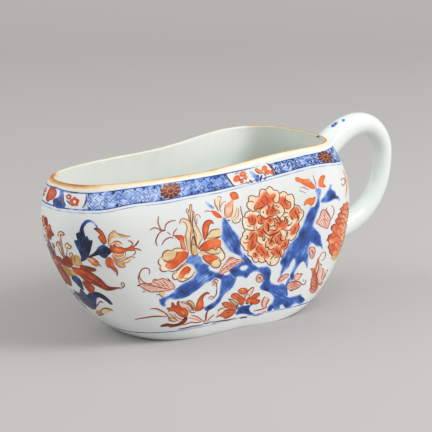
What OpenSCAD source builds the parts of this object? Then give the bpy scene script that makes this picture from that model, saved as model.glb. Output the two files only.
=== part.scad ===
// Bourdaloue: a waisted oval porcelain vessel with a prow-like front, a lip that
// rises towards the back, and a loop handle luted on at the rear.
// The origin is the middle of the flat foot, +X runs to the handle and +Z is up.

/* [Plan] */
// Reach of the front end at its fullest, from the middle of the foot
belly_front = 95; // [75:1:120]
// Reach of the rear end at its fullest, from the middle of the foot
belly_rear = 95; // [75:1:120]
// Width across the waist at its fullest
waist_w = 72; // [56:1:95]
// Width that the front half swells towards at its end
front_swell_w = 80; // [60:1:110]
// Width that the rear half swells towards at its end
rear_swell_w = 122; // [80:1:150]
// Squareness of the oval: 2 is an ellipse, higher is blunter at the ends
oval_power = 2.4; // [2:0.1:3]

/* [Foot] */
// Length of the flat foot
foot_l = 92; // [70:1:120]
// How far each side draws in from the belly to the foot
foot_draw = 6; // [2:0.5:12]
// Roundness of the front end's profile, from foot to belly
front_round = 1.45; // [1.3:0.05:2.6]
// Roundness of the rear end's profile, from foot to belly
rear_round = 2; // [1.3:0.05:2.6]

/* [Height] */
// Height of the lip at the front
lip_h_front = 89.5; // [70:0.5:115]
// Height of the lip at the back
lip_h_rear = 93.5; // [70:0.5:115]
// Height of the fullest part of the front
belly_h_front = 68; // [50:1:75]
// Height of the fullest part of the back
belly_h_rear = 58; // [45:1:75]
// Where the lip starts to rise, from the middle of the foot
rise_from = -20; // [-60:1:0]
// Where the lip stops rising, from the middle of the foot
rise_to = 59; // [20:1:75]

/* [Shoulder] */
// Reach of the front end at the lip
lip_front = 90; // [70:0.5:115]
// Reach of the rear end at the lip
lip_rear = 79.5; // [65:0.5:110]
// How far each side leans in from the belly to the lip
lip_draw = 5.5; // [1:0.5:12]

/* [Wall] */
// Thickness of the wall
wall_t = 4; // [2.5:0.25:6]
// Thickness of the floor slab
floor_t = 5; // [3:0.25:8]
// Thickness of the wall at the lip
lip_t = 3; // [2:0.25:5]
// Height of the rounded lip above the wall's top edge
lip_bead_h = 2.2; // [1:0.1:4]

/* [Handle] */
// Reach of the handle's outer edge, from the middle of the foot
handle_reach = 146; // [125:1:165]
// Height of the handle's outermost point
handle_out_h = 73; // [55:1:85]
// Height at which the handle's upper root is aimed
upper_root_h = 75.5; // [66:0.5:82]
// Height at which the handle's lower root is aimed
lower_root_h = 30; // [20:0.5:45]
// Slope at which the handle leaves its upper root, in degrees
upper_slope = 43; // [20:1:60]
// Slope at which the handle comes in to its lower root, in degrees
lower_slope = 1; // [-10:1:25]
// Diameter of the handle at its outermost point
handle_d = 11.4; // [8:0.2:16]
// Diameter of the handle at its upper root
upper_root_d = 16.4; // [10:0.2:20]
// Diameter of the handle at its lower root
lower_root_d = 15; // [10:0.2:20]
// Length of the pull that arches the handle up from its upper root
upper_pull = 47.5; // [25:0.5:60]
// Length of the pull that rounds the handle's top
top_pull = 12; // [6:0.5:30]
// Length of the pull that carries the handle down from its outermost point
fall_pull = 20.5; // [10:0.5:40]
// Length of the pull that draws the handle in to its lower root
lower_pull = 45; // [25:0.5:55]

/* [Slip joints] */
// Thickness of the slip between a root and the wall
slip_t = 0.2; // [0.1:0.05:0.4]
// How far a slip fillet runs up the handle from the wall's nearest point
fillet_run = 5; // [3:0.5:9]
// How far a slip fillet spreads over the wall
fillet_spread = 2.6; // [1:0.2:5]

/* [Hidden] */

// Steps round the plan, up the wall's two zones, over the lip, and along and round the handle
plan_steps = 80;
low_steps = 12;
top_steps = 7;
in_low_steps = 9;
in_top_steps = 5;
lip_steps = 8;
path_steps = 20;
ring_steps = 24;
glaze = [0.90, 0.92, 0.90];
lip_brown = [0.80, 0.63, 0.42];
biscuit = [0.86, 0.81, 0.73];

function mix(a, b, t) = a + (b - a) * t;
function clip01(t) = max(0, min(1, t));
function ease(t) = t * t * (3 - 2 * t);
function signed_pow(v, e) = sign(v) * pow(abs(v), e);

// Plan position: c runs from 1 at the rear tip to -1 at the front tip, s across
function plan_c(i) = signed_pow(cos(i * 360 / plan_steps), 2 / oval_power);
function plan_s(i) = signed_pow(sin(i * 360 / plan_steps), 2 / oval_power);

// Sizes that change from the front (k = 0) to the rear (k = 1)
function rearward(c) = (1 + c) / 2;
function belly_reach(c) = c > 0 ? belly_rear : belly_front;
function lip_reach(c) = c > 0 ? lip_rear : lip_front;
function belly_h(c) = mix(belly_h_front, belly_h_rear, rearward(c));
function roundness(c) = mix(front_round, rear_round, rearward(c));
function swell(c) = mix(waist_w, c > 0 ? rear_swell_w : front_swell_w, c * c) / 2;
function lip_h(c) = mix(lip_h_front, lip_h_rear,
    ease(clip01((c * belly_reach(c) - rise_from) / (rise_to - rise_from))));

// Half length and half width at a flare f (0 foot, 1 belly) and a lean u (0 belly, 1 lip), inset by t
function half_l(c, f, u, t) =
    mix(foot_l / 2, belly_reach(c), f) - (belly_reach(c) - lip_reach(c)) * u * u - t;
function half_w(c, f, u, t) = swell(c) - foot_draw * (1 - f) - lip_draw * u * u - t;

// Lean at which the wall gives way to the rounded lip
function lip_lean(c) = 1 - lip_bead_h / (lip_h(c) - belly_h(c));

// A ring of the outer face: q from 0 at the foot to 1 at the belly, then u from 0 to 1 at the lip's seat
function low_ring(q) = [for (i = [0 : plan_steps - 1])
    let (c = plan_c(i), e = 2 / roundness(c), f = pow(sin(q * 90), e))
    [c * half_l(c, f, 0, 0), plan_s(i) * half_w(c, f, 0, 0), belly_h(c) * (1 - pow(cos(q * 90), e))]];
function top_ring(u) = [for (i = [0 : plan_steps - 1])
    let (c = plan_c(i), n = u * lip_lean(c))
    [c * half_l(c, 1, n, 0), plan_s(i) * half_w(c, 1, n, 0), mix(belly_h(c), lip_h(c), n)]];

// The same rings on the inner face, lifted by the floor and thinned towards the lip
function floor_lift(c, z) = z + floor_t * (1 - z / (lip_h(c) - lip_bead_h));
function in_low_ring(q) = [for (i = [0 : plan_steps - 1])
    let (c = plan_c(i), e = 2 / roundness(c), f = pow(sin(q * 90), e))
    [c * half_l(c, f, 0, wall_t), plan_s(i) * half_w(c, f, 0, wall_t),
     floor_lift(c, belly_h(c) * (1 - pow(cos(q * 90), e)))]];
function in_top_ring(u) = [for (i = [0 : plan_steps - 1])
    let (c = plan_c(i), n = u * lip_lean(c), t = mix(wall_t, lip_t, u))
    [c * half_l(c, 1, n, t), plan_s(i) * half_w(c, 1, n, t), floor_lift(c, mix(belly_h(c), lip_h(c), n))]];
function dropped(ring, z) = [for (p = ring) [p[0], p[1], z]];

// Over the lip from the outer seat (a = 0) to the inner seat (a = 180)
function lip_ring(a) =
    let (outer = top_ring(1), inner = in_top_ring(1))
    [for (i = [0 : plan_steps - 1])
        mix(outer[i], inner[i], (1 - cos(a)) / 2) + [0, 0, lip_bead_h * sin(a)]];

// How far a point near the rear end lies outside the outer face: below 0 is inside
function outside(p) =
    let (f1 = flare_at(1, p[2]), u1 = lean_at(1, p[2]), c = min(1, p[0] / half_l(1, f1, u1, 0)),
         f = flare_at(c, p[2]), u = lean_at(c, p[2]))
    pow(abs(p[0]) / half_l(1, f, u, 0), oval_power) + pow(abs(p[1]) / half_w(c, f, u, 0), oval_power) - 1;
function flare_at(c, z) =
    let (r = roundness(c)) pow(1 - pow(1 - clip01(z / belly_h(c)), r), 1 / r);
function lean_at(c, z) = clip01((z - belly_h(c)) / (lip_h(c) - belly_h(c)));

// Slide a point along a direction until it rests on the outer face with the slip between
function rest_on_wall(p, dir, near = -30, far = 40, n = 24) =
    let (m = (near + far) / 2)
    n == 0 ? p + dir * (m + slip_t)
           : outside(p + dir * m) < 0 ? rest_on_wall(p, dir, m, far, n - 1)
                                      : rest_on_wall(p, dir, near, m, n - 1);

// The handle's centre line: two cubic curves that meet at the outermost point
upper_dir = [cos(upper_slope), 0, sin(upper_slope)];
lower_dir = [cos(lower_slope), 0, sin(lower_slope)];
upper_root = [half_l(1, flare_at(1, upper_root_h), lean_at(1, upper_root_h), wall_t + slip_t), 0, upper_root_h];
lower_root = [half_l(1, flare_at(1, lower_root_h), lean_at(1, lower_root_h), wall_t + slip_t), 0, lower_root_h];
outermost = [handle_reach - handle_d / 2, 0, handle_out_h];
function cubic(a, b, c, d, t) =
    a * pow(1 - t, 3) + 3 * b * t * pow(1 - t, 2) + 3 * c * t * t * (1 - t) + d * pow(t, 3);
function cubic_dir(a, b, c, d, t) =
    let (v = (b - a) * pow(1 - t, 2) + 2 * (c - b) * t * (1 - t) + (d - c) * t * t) v / norm(v);
up_curve = [upper_root, upper_root + upper_dir * upper_pull, outermost + [0, 0, top_pull], outermost];
down_curve = [outermost, outermost - [0, 0, fall_pull], lower_root + lower_dir * lower_pull, lower_root];
function on(k, t) = cubic(k[0], k[1], k[2], k[3], t);
function along(k, t) = cubic_dir(k[0], k[1], k[2], k[3], t);

// A round section of the handle, square to its direction
function section(p, dir, d) = [for (j = [0 : ring_steps - 1])
    let (a = j * 360 / ring_steps)
    p + d / 2 * (cos(a) * [-dir[2], 0, dir[0]] - sin(a) * [0, 1, 0])];

// Roots on the wall, and the clear sections next to them where the fillets end
function settled(ring, dir) = [for (p = ring) rest_on_wall(p, dir)];
function inner_seats(p, dir, d) = [for (k = [0.08, 0.4, 0.7]) settled(section(p, dir, k * d), dir)];
function deepest(ring, p, dir) = max([for (q = ring) (q - p) * dir]);
upper_seat = settled(section(upper_root, upper_dir, upper_root_d), upper_dir);
lower_seat = settled(section(lower_root, lower_dir, lower_root_d), lower_dir);
upper_clear = (deepest(upper_seat, upper_root, upper_dir) + fillet_run) / (3 * upper_pull);
lower_clear = (deepest(lower_seat, lower_root, lower_dir) + fillet_run) / (3 * lower_pull);
function up_d(t) = mix(handle_d, upper_root_d, pow(1 - t, 2.2));
function down_d(t) = mix(handle_d, lower_root_d, pow(t, 1.3));
function up_section(t) = section(on(up_curve, t), along(up_curve, t), up_d(t));
function down_section(t) = section(on(down_curve, t), -along(down_curve, t), down_d(t));
function turned(ring) = [for (j = [0 : ring_steps - 1]) ring[(ring_steps + ring_steps / 2 - j) % ring_steps]];

// A fillet's rings: root, spread on the wall, two hollow steps, and the end on the handle
function spread_ring(seat, p, dir) = [for (q = seat)
    let (r = q - p - dir * ((q - p) * dir)) rest_on_wall(q + r / norm(r) * fillet_spread, dir)];
function hollow(a, b, root, t, k) = [for (j = [0 : ring_steps - 1])
    mix(mix(a[j], b[j], t), root[j], k)];

// A closed skin over rings that each have the same count, with the ends capped or joined up
module skin(rings, loop = false, flip_last = false) {
    m = len(rings[0]);
    n = len(rings);
    points = [for (r = rings) each r];
    sides = [for (k = [0 : n - (loop ? 1 : 2)], i = [0 : m - 1])
        let (a = k * m + i, b = k * m + (i + 1) % m, l = (k + 1) % n, c = l * m + (i + 1) % m, d = l * m + i)
        each flip_last && k == n - 1 ? [[a, d, b], [b, d, c]] : [[a, c, b], [a, d, c]]];
    first_mid = len(points);
    capped = loop ? points : concat(points, [middle(rings[0]), middle(rings[n - 1])]);
    caps = loop ? [] : [for (i = [0 : m - 1]) each [
        [first_mid, i, (i + 1) % m],
        [first_mid + 1, (n - 1) * m + (i + 1) % m, (n - 1) * m + i]]];
    polyhedron(capped, concat(sides, caps), convexity = 8);
}
function middle(ring) = [for (k = [0 : 2]) let (v = [for (p = ring) p[k]]) (v * [for (p = ring) 1]) / len(ring)];

// The moulded wall: outer face up, inner face down, then the seat for the floor slab
module body_wall() {
    color(glaze) skin(loop = true, rings = concat(
        [for (k = [0 : low_steps]) low_ring(k / low_steps)],
        [for (k = [1 : top_steps]) top_ring(k / top_steps)],
        [for (k = [0 : in_top_steps]) in_top_ring(1 - k / in_top_steps)],
        [for (k = [1 : in_low_steps]) in_low_ring(1 - k / in_low_steps)],
        [dropped(in_low_ring(0), 0)]));
}

// The floor slab, let in to the wall's lower edge, with the flat resting face under it
module base_slab() {
    color(biscuit) linear_extrude(height = floor_t)
        polygon([for (p = in_low_ring(0)) [p[0], p[1]]]);
}

// The rounded lip with its brown dressing
module rim_lip() {
    color(lip_brown) skin(loop = true, flip_last = true,
        rings = [for (k = [0 : lip_steps]) lip_ring(k * 180 / lip_steps)]);
}

// The loop handle, from its upper root over the top and down to its lower root
module handle() {
    color(glaze) skin(rings = concat(
        inner_seats(upper_root, upper_dir, upper_root_d),
        [upper_seat],
        [for (k = [0 : path_steps]) up_section(mix(upper_clear, 1, k / path_steps))],
        [for (k = [1 : path_steps]) turned(down_section(mix(0, 1 - lower_clear, k / path_steps)))],
        [turned(lower_seat)],
        [for (k = [2, 1, 0]) turned(inner_seats(lower_root, lower_dir, lower_root_d)[k])]));
}

// A hollow fillet of slip round a root
module luting(seat, clear, p, dir) {
    spread = spread_ring(seat, p, dir);
    color(glaze) skin(loop = true, rings = [
        clear, seat, spread,
        hollow(spread, clear, seat, 0.33, 0.35),
        hollow(spread, clear, seat, 0.67, 0.35)]);
}
module upper_luting() {
    luting(upper_seat, up_section(upper_clear), upper_root, upper_dir);
}
module lower_luting() {
    luting(lower_seat, down_section(1 - lower_clear), lower_root, lower_dir);
}

body_wall();
base_slab();
rim_lip();
handle();
upper_luting();
lower_luting();
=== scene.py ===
import bisect
import math
import random
import bpy
from mathutils import Matrix, Vector, noise
from mathutils.bvhtree import BVHTree
from mathutils.geometry import delaunay_2d_cdt
from mathutils.interpolate import poly_3d_calc
from mathutils.kdtree import KDTree


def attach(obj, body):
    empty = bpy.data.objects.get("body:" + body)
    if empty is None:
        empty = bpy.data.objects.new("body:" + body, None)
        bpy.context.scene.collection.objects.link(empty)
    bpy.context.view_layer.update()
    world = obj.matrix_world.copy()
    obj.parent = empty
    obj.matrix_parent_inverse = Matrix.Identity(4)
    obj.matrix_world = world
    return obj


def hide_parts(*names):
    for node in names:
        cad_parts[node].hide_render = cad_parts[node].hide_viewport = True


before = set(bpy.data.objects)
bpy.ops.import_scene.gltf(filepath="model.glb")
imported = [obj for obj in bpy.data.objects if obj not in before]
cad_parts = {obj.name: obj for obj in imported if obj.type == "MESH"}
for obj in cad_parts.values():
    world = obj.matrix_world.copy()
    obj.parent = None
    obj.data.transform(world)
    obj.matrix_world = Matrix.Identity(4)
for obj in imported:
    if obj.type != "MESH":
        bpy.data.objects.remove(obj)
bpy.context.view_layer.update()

mm = 0.001
weld = 0.001  # mm; corners closer than this become one
photoSide = 432  # the photograph's frame, in pixels


def linear(hexText):
    # sRGB hex to the linear values that shader sockets take
    parts = [int(hexText[i:i + 2], 16) / 255 for i in (1, 3, 5)]
    return [p / 12.92 if p <= 0.04045 else ((p + 0.055) / 1.055) ** 2.4 for p in parts] + [1.0]


def addNode(tree, kind, settings=(), values=(), links=()):
    # settings belong to the node, values to its sockets, and links come from other nodes
    node = tree.nodes.new(kind)
    for name, value in dict(settings).items():
        if name != "stops":
            setattr(node, name, value)
            continue
        while len(node.color_ramp.elements) < len(value):
            node.color_ramp.elements.new(1.0)
        for stop, (place, colour) in zip(node.color_ramp.elements, value):
            stop.position = place
            stop.color = linear(colour)
    for name, value in dict(values).items():
        node.inputs[name].default_value = value
    for name, source in dict(links).items():
        tree.links.new(source, node.inputs[name])
    return node


def newFinish(name, roughness, ior):
    # an empty material with its shader, for the pieces below to build on
    finish = bpy.data.materials.new(name)
    finish.use_nodes = True
    tree = finish.node_tree
    shader = tree.nodes["Principled BSDF"]
    shader.inputs["Roughness"].default_value = roughness
    shader.inputs["IOR"].default_value = ior
    return finish, tree, shader


def mix(a, b, t):
    return a + (b - a) * t


def clip01(t):
    return max(0.0, min(1.0, t))


def ease(t):
    return t * t * (3 - 2 * t)


def finishShape(piece, material, nodes, sharp=40):
    # merge what meets, turn the faces out, shade it and hand it to the frame; sharp is in degrees
    bpy.ops.object.select_all(action="DESELECT")
    bpy.context.view_layer.objects.active = piece
    piece.select_set(True)
    bpy.ops.object.mode_set(mode="EDIT")
    bpy.ops.mesh.select_all(action="SELECT")
    bpy.ops.mesh.remove_doubles(threshold=weld * mm)
    bpy.ops.mesh.normals_make_consistent(inside=False)
    bpy.ops.object.mode_set(mode="OBJECT")
    bpy.ops.object.shade_smooth_by_angle(angle=math.radians(sharp))
    piece.data.materials.clear()
    piece.data.materials.append(material)
    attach(piece, "root")
    if nodes:
        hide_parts(*nodes)


def drawTube(name, around, rows):
    # a circle drawn up row by row into a plain tube, one unit a row
    bpy.ops.object.select_all(action="DESELECT")
    bpy.ops.mesh.primitive_circle_add(vertices=around, radius=1)
    piece = bpy.context.object
    piece.name = name
    piece.data.name = name
    bpy.ops.object.mode_set(mode="EDIT")
    bpy.ops.mesh.select_all(action="SELECT")
    for row in range(rows - 1):
        bpy.ops.mesh.extrude_region_move(TRANSFORM_OT_translate={"value": (0, 0, 1)})
    bpy.ops.object.mode_set(mode="OBJECT")
    return piece


def bendTube(piece, around, rings):
    # each corner of the tube goes to its place on the rings
    for corner in piece.data.vertices:
        turn = math.atan2(corner.co.y, corner.co.x) / math.tau
        corner.co = rings[round(corner.co.z)][round(turn * around) % around] * mm
    piece.data.update()


# The pot's form, in mm, with the same sizes as the part
potForm = {
    "bellyFront": 95, "bellyRear": 95, "lipFront": 90, "lipRear": 79.5,
    "waistW": 72, "frontSwellW": 80, "rearSwellW": 122, "ovalPower": 2.4,
    "footL": 92, "footDraw": 6, "lipDraw": 5.5,
    "frontRound": 1.45, "rearRound": 2.0,
    "bellyHFront": 68, "bellyHRear": 58,
    "lipHFront": 89.5, "lipHRear": 93.5, "riseFrom": -20, "riseTo": 59,
    "wallT": 4, "lipT": 3, "floorT": 5, "floorSkin": 1, "lipBeadH": 2.2, "leanFrom": 0.96,
    "around": 240, "lowRows": 44, "topRows": 16, "lastRow": 0.985, "lipRows": 18,
    "floorShares": [0, 0.2, 0.4, 0.6, 0.8, 0.92], "underShares": [1, 0.7, 0.35, 0],
}


def planPlace(turn):
    # c runs from 1 at the rear tip to -1 at the front tip, s across
    power = 2 / potForm["ovalPower"]
    c = math.copysign(abs(math.cos(turn)) ** power, math.cos(turn))
    s = math.copysign(abs(math.sin(turn)) ** power, math.sin(turn))
    return c, s


def bellyHeight(c):
    return mix(potForm["bellyHFront"], potForm["bellyHRear"], (1 + c) / 2)


def roundness(c):
    return mix(potForm["frontRound"], potForm["rearRound"], (1 + c) / 2)


def lipHeight(c):
    reach = potForm["bellyRear"] if c > 0 else potForm["bellyFront"]
    rise = (c * reach - potForm["riseFrom"]) / (potForm["riseTo"] - potForm["riseFrom"])
    return mix(potForm["lipHFront"], potForm["lipHRear"], ease(clip01(rise)))


def planPoint(c, s, flare, lean, inset, z):
    # flare 0 at the foot and 1 at the belly, lean 0 at the belly and 1 at the lip
    belly = potForm["bellyRear"] if c > 0 else potForm["bellyFront"]
    lip = potForm["lipRear"] if c > 0 else potForm["lipFront"]
    swell = mix(potForm["waistW"], potForm["rearSwellW"] if c > 0 else potForm["frontSwellW"], c * c) / 2
    halfL = mix(potForm["footL"] / 2, belly, flare) - (belly - lip) * lean * lean - inset
    halfW = swell - potForm["footDraw"] * (1 - flare) - potForm["lipDraw"] * lean * lean - inset
    return Vector((c * halfL, s * halfW, z))


def wallAt(turn, z, inset=0.0):
    # the outer face at a height
    c, s = planPlace(turn)
    power = roundness(c)
    flare = (1 - (1 - clip01(z / bellyHeight(c))) ** power) ** (1 / power)
    lean = clip01((z - bellyHeight(c)) / (lipHeight(c) - bellyHeight(c)))
    return planPoint(c, s, flare, lean, inset, z)


def wallNormal(turn, z):
    turnStep, heightStep = 0.002, 0.2
    across = wallAt(turn + turnStep, z) - wallAt(turn - turnStep, z)
    upward = wallAt(turn, z + heightStep) - wallAt(turn, z - heightStep)
    return across.cross(upward).normalized()


def floorLift(c, z):
    # the inner face starts on the floor and runs out to nothing at the lip
    return z + potForm["floorT"] * (1 - z / (lipHeight(c) - potForm["lipBeadH"]))


def lowRing(share, inside):
    ring = []
    for k in range(potForm["around"]):
        c, s = planPlace(k * math.tau / potForm["around"])
        power = 2 / roundness(c)
        flare = math.sin(share * math.pi / 2) ** power
        z = bellyHeight(c) * (1 - max(0.0, math.cos(share * math.pi / 2)) ** power)
        inset = potForm["wallT"] if inside else 0
        ring.append(planPoint(c, s, flare, 0, inset, floorLift(c, z) if inside else z))
    return ring


def topRing(share, inside):
    ring = []
    for k in range(potForm["around"]):
        c, s = planPlace(k * math.tau / potForm["around"])
        lean = share * (1 - potForm["lipBeadH"] / (lipHeight(c) - bellyHeight(c)))
        z = mix(bellyHeight(c), lipHeight(c), lean)
        inset = mix(potForm["wallT"], potForm["lipT"], share) if inside else 0
        ring.append(planPoint(c, s, 1, lean, inset, floorLift(c, z) if inside else z))
    return ring


def floorRings(z, shares):
    # the flat floor, drawn in from the wall to its middle
    edge = lowRing(0, True)
    return [[Vector((p.x * share, p.y * share, z)) for p in edge] for share in shares]


def lipRing(angle):
    # the bead leans in with the wall, so its skin runs on from the wall's
    outer, inner = topRing(1, False), topRing(1, True)
    below = topRing(potForm["leanFrom"], False)
    ring = []
    for a, b, low in zip(outer, inner, below):
        lean = (a - low) / (a.z - low.z)
        middle = mix(a, b, (1 - math.cos(angle)) / 2)
        ring.append(middle + lean * potForm["lipBeadH"] * math.sin(angle))
    return ring


# Feldspar glaze on porcelain, fired in one piece: a cool white with a green-grey cast where it pools,
# a wet gloss with the faintest unevenness, and a few iron specks; under the inner lip, painted light in near
# white
def makeGlaze():
    finish, tree, shader = newFinish("glazedPorcelain", roughness=0.08, ior=1.5)
    place = addNode(tree, "ShaderNodeTexCoord").outputs["Object"]
    cloud = addNode(tree, "ShaderNodeTexNoise", values={"Scale": 28.0, "Detail": 2.0},
                    links={"Vector": place})
    tint = addNode(tree, "ShaderNodeValToRGB", {"stops": [(0.3, "#dde0dd"), (0.7, "#e7e8e6")]},
                   links={"Fac": cloud.outputs["Fac"]})
    thick = addNode(tree, "ShaderNodeAttribute", {"attribute_name": "pool"}).outputs["Fac"]
    pooled = addNode(tree, "ShaderNodeMix", {"data_type": "RGBA"}, {"B": linear("#e1e9e0")},
                     {"Factor": thick, "A": tint.outputs["Color"]})
    # painted light: a near white band just under the inner lip, lighter than the glaze anywhere else
    thin = addNode(tree, "ShaderNodeAttribute", {"attribute_name": "thin"}).outputs["Fac"]
    drawn = addNode(tree, "ShaderNodeMix", {"data_type": "RGBA"}, {"B": linear("#fcfbf6")},
                    {"Factor": thin, "A": pooled.outputs["Result"]})
    speckle = addNode(tree, "ShaderNodeTexVoronoi", values={"Scale": 95.0}, links={"Vector": place})
    spot = addNode(tree, "ShaderNodeValToRGB", {"stops": [(0.03, "#ffffff"), (0.055, "#000000")]},
                   links={"Fac": speckle.outputs["Distance"]})
    rare = addNode(tree, "ShaderNodeMath", {"operation": "GREATER_THAN"}, {1: 0.86},
                   {0: addNode(tree, "ShaderNodeSeparateColor",
                               links={"Color": speckle.outputs["Color"]}).outputs["Red"]})
    amount = addNode(tree, "ShaderNodeMath", {"operation": "MULTIPLY"},
                     links={0: spot.outputs["Color"], 1: rare.outputs["Value"]})
    soft = addNode(tree, "ShaderNodeMath", {"operation": "MULTIPLY"}, {1: 0.45},
                   {0: amount.outputs["Value"]})
    body = addNode(tree, "ShaderNodeMix", {"data_type": "RGBA"}, {"B": linear("#9a927c")},
                   {"Factor": soft.outputs["Value"], "A": drawn.outputs["Result"]})
    tree.links.new(body.outputs["Result"], shader.inputs["Base Color"])
    ripple = addNode(tree, "ShaderNodeTexNoise", values={"Scale": 120.0, "Detail": 1.0},
                     links={"Vector": place})
    skin = addNode(tree, "ShaderNodeBump", values={"Strength": 0.05, "Distance": 0.0006},
                   links={"Height": ripple.outputs["Fac"]})
    tree.links.new(skin.outputs["Normal"], shader.inputs["Normal"])
    return finish


# Iron-brown dressing brushed on the lip over the glaze: it burns to orange on the crest and thins to
# nothing
def makeDressing():
    finish, tree, shader = newFinish("ironDressedGlaze", roughness=0.42, ior=1.45)
    place = addNode(tree, "ShaderNodeTexCoord").outputs["Object"]
    wash = addNode(tree, "ShaderNodeAttribute", {"attribute_name": "tone"}).outputs["Fac"]
    breaks = addNode(tree, "ShaderNodeTexNoise", values={"Scale": 160.0, "Detail": 3.0},
                     links={"Vector": place})
    uneven = addNode(tree, "ShaderNodeMapRange", values={"To Min": 0.55, "To Max": 1.35},
                     links={"Value": breaks.outputs["Fac"]})
    strength = addNode(tree, "ShaderNodeMath", {"operation": "MULTIPLY"},
                       links={0: wash, 1: uneven.outputs["Result"]})
    burnt = [(0.0, "#fbfaf5"), (0.1, "#dde1dc"), (0.3, "#e6d6b8"), (0.6, "#dba866"), (1.0, "#aa672e")]
    colour = addNode(tree, "ShaderNodeValToRGB", {"stops": burnt}, links={"Fac": strength.outputs["Value"]})
    tree.links.new(colour.outputs["Color"], shader.inputs["Base Color"])
    return finish


# Bare fired porcelain under the foot: matt, a little tan, with kiln grit
def makeBiscuit():
    finish, tree, shader = newFinish("bareBiscuit", roughness=0.75, ior=1.45)
    place = addNode(tree, "ShaderNodeTexCoord").outputs["Object"]
    grit = addNode(tree, "ShaderNodeTexNoise", values={"Scale": 900.0, "Detail": 4.0},
                   links={"Vector": place})
    colour = addNode(tree, "ShaderNodeValToRGB", {"stops": [(0.3, "#a8906f"), (0.7, "#cdbfa8")]},
                     links={"Fac": grit.outputs["Fac"]})
    tree.links.new(colour.outputs["Color"], shader.inputs["Base Color"])
    rough = addNode(tree, "ShaderNodeBump", values={"Strength": 0.3, "Distance": 0.0002},
                    links={"Height": grit.outputs["Fac"]})
    tree.links.new(rough.outputs["Normal"], shader.inputs["Normal"])
    return finish


glaze = makeGlaze()
dressing = makeDressing()
biscuit = makeBiscuit()

# The wall: floor inside, up the inner face, over the lip's seat, down the outer face and in under the floor
underside = potForm["floorT"] - potForm["floorSkin"]  # the slab below fills up to here
lowShares = [k / potForm["lowRows"] for k in range(potForm["lowRows"] + 1)]
topShares = [k / potForm["topRows"] for k in range(1, potForm["topRows"])] + [potForm["lastRow"], 1.0]
wallRings = floorRings(potForm["floorT"], potForm["floorShares"])
wallRings += [lowRing(share, True) for share in lowShares]
wallRings += [topRing(share, True) for share in topShares]
wallRings += [topRing(share, False) for share in reversed(topShares)]
wallRings += [lowRing(share, False) for share in reversed(lowShares)]
wallRings += floorRings(0, [1]) + floorRings(underside, potForm["underShares"])
potWall = drawTube("potWall", potForm["around"], len(wallRings))
bendTube(potWall, potForm["around"], wallRings)
finishShape(potWall, glaze, ["body_wall"])
# Inside, the glaze has run thick this many mm below the lip, and just under it the colour is painted near
# white: painted light over the shade there
glazeRun = {"poolDepth": 45, "paintedLightDepth": 16, "paintedLightFade": 0.7, "floorFacing": 0.7, "seatEvery": 4}
lipSeat = topRing(1.0, True)[::glazeRun["seatEvery"]]
pool = potWall.data.attributes.new("pool", "FLOAT", "POINT")
thin = potWall.data.attributes.new("thin", "FLOAT", "POINT")
for corner in potWall.data.vertices:
    facesIn = corner.normal.xy.dot(corner.co.xy) < 0 or corner.normal.z > glazeRun["floorFacing"]
    depth = clip01((potForm["lipHFront"] - corner.co.z / mm) / glazeRun["poolDepth"])
    pool.data[corner.index].value = ease(depth) if facesIn else 0.0
    below = glazeRun["paintedLightDepth"]
    if facesIn:
        below = min((point - corner.co / mm).length for point in lipSeat)
    thin.data[corner.index].value = (1 - clip01(below / glazeRun["paintedLightDepth"])) ** glazeRun["paintedLightFade"]
print("wall", len(potWall.data.polygons))

# The lip: a half-round bead on the wall, closed underneath, with the dressing's strength on each corner
lipWear = {
    "crest": 1.62, "crestSpread": 0.3, "line": 0.7, "wash": 0.36, "washTo": -0.1, "rearWash": 0.6,
    "farLeft": 0.3, "farFrom": 0.1, "farTo": 0.8, "tipFrom": 0.86, "tipRun": 0.07, "tip": 0.66,
    "bare": 0.1, "innerTurn": 0.9, "firstTurn": 0.04,
}
lipAngles = [k * math.pi / potForm["lipRows"] for k in range(potForm["lipRows"] + 1)]
lipAngles = [0, lipWear["firstTurn"]] + lipAngles[1:-1] + [math.pi - lipWear["firstTurn"], math.pi]
lipRings = [lipRing(angle) for angle in lipAngles] + [lipRing(0)]
potLip = drawTube("potLip", potForm["around"], len(lipRings))
bendTube(potLip, potForm["around"], lipRings)
finishShape(potLip, dressing, ["rim_lip"], sharp=60)
tone = potLip.data.attributes.new("tone", "FLOAT", "POINT")
lipPlaces = {}
for row, ring in enumerate(lipRings[:-1]):
    for k, point in enumerate(ring):
        lipPlaces[tuple(round(v, 3) for v in point)] = (lipAngles[row], k)
for corner in potLip.data.vertices:
    key = tuple(round(v / mm, 3) for v in corner.co)
    angle, k = lipPlaces.get(key, (0.0, 0))
    c, across = planPlace(k * math.tau / potForm["around"])
    worn = across > lipWear["farFrom"] and c < lipWear["farTo"]  # the far side is nearly white
    left = lipWear["farLeft"] if worn else 1.0
    crest = lipWear["line"] * math.exp(-((angle - lipWear["crest"]) / lipWear["crestSpread"]) ** 2)
    wash = lipWear["wash"] * math.sin(angle) * (1 if c < lipWear["washTo"] else lipWear["rearWash"])
    tip = lipWear["tip"] * clip01((-c - lipWear["tipFrom"]) / lipWear["tipRun"]) * math.sin(angle)
    # white where it runs on inside
    bare = lipWear["bare"] * clip01((math.pi - angle) / lipWear["innerTurn"])
    tone.data[corner.index].value = clip01(bare + (crest + wash) * left + tip)
print("lip", len(potLip.data.polygons))

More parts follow.
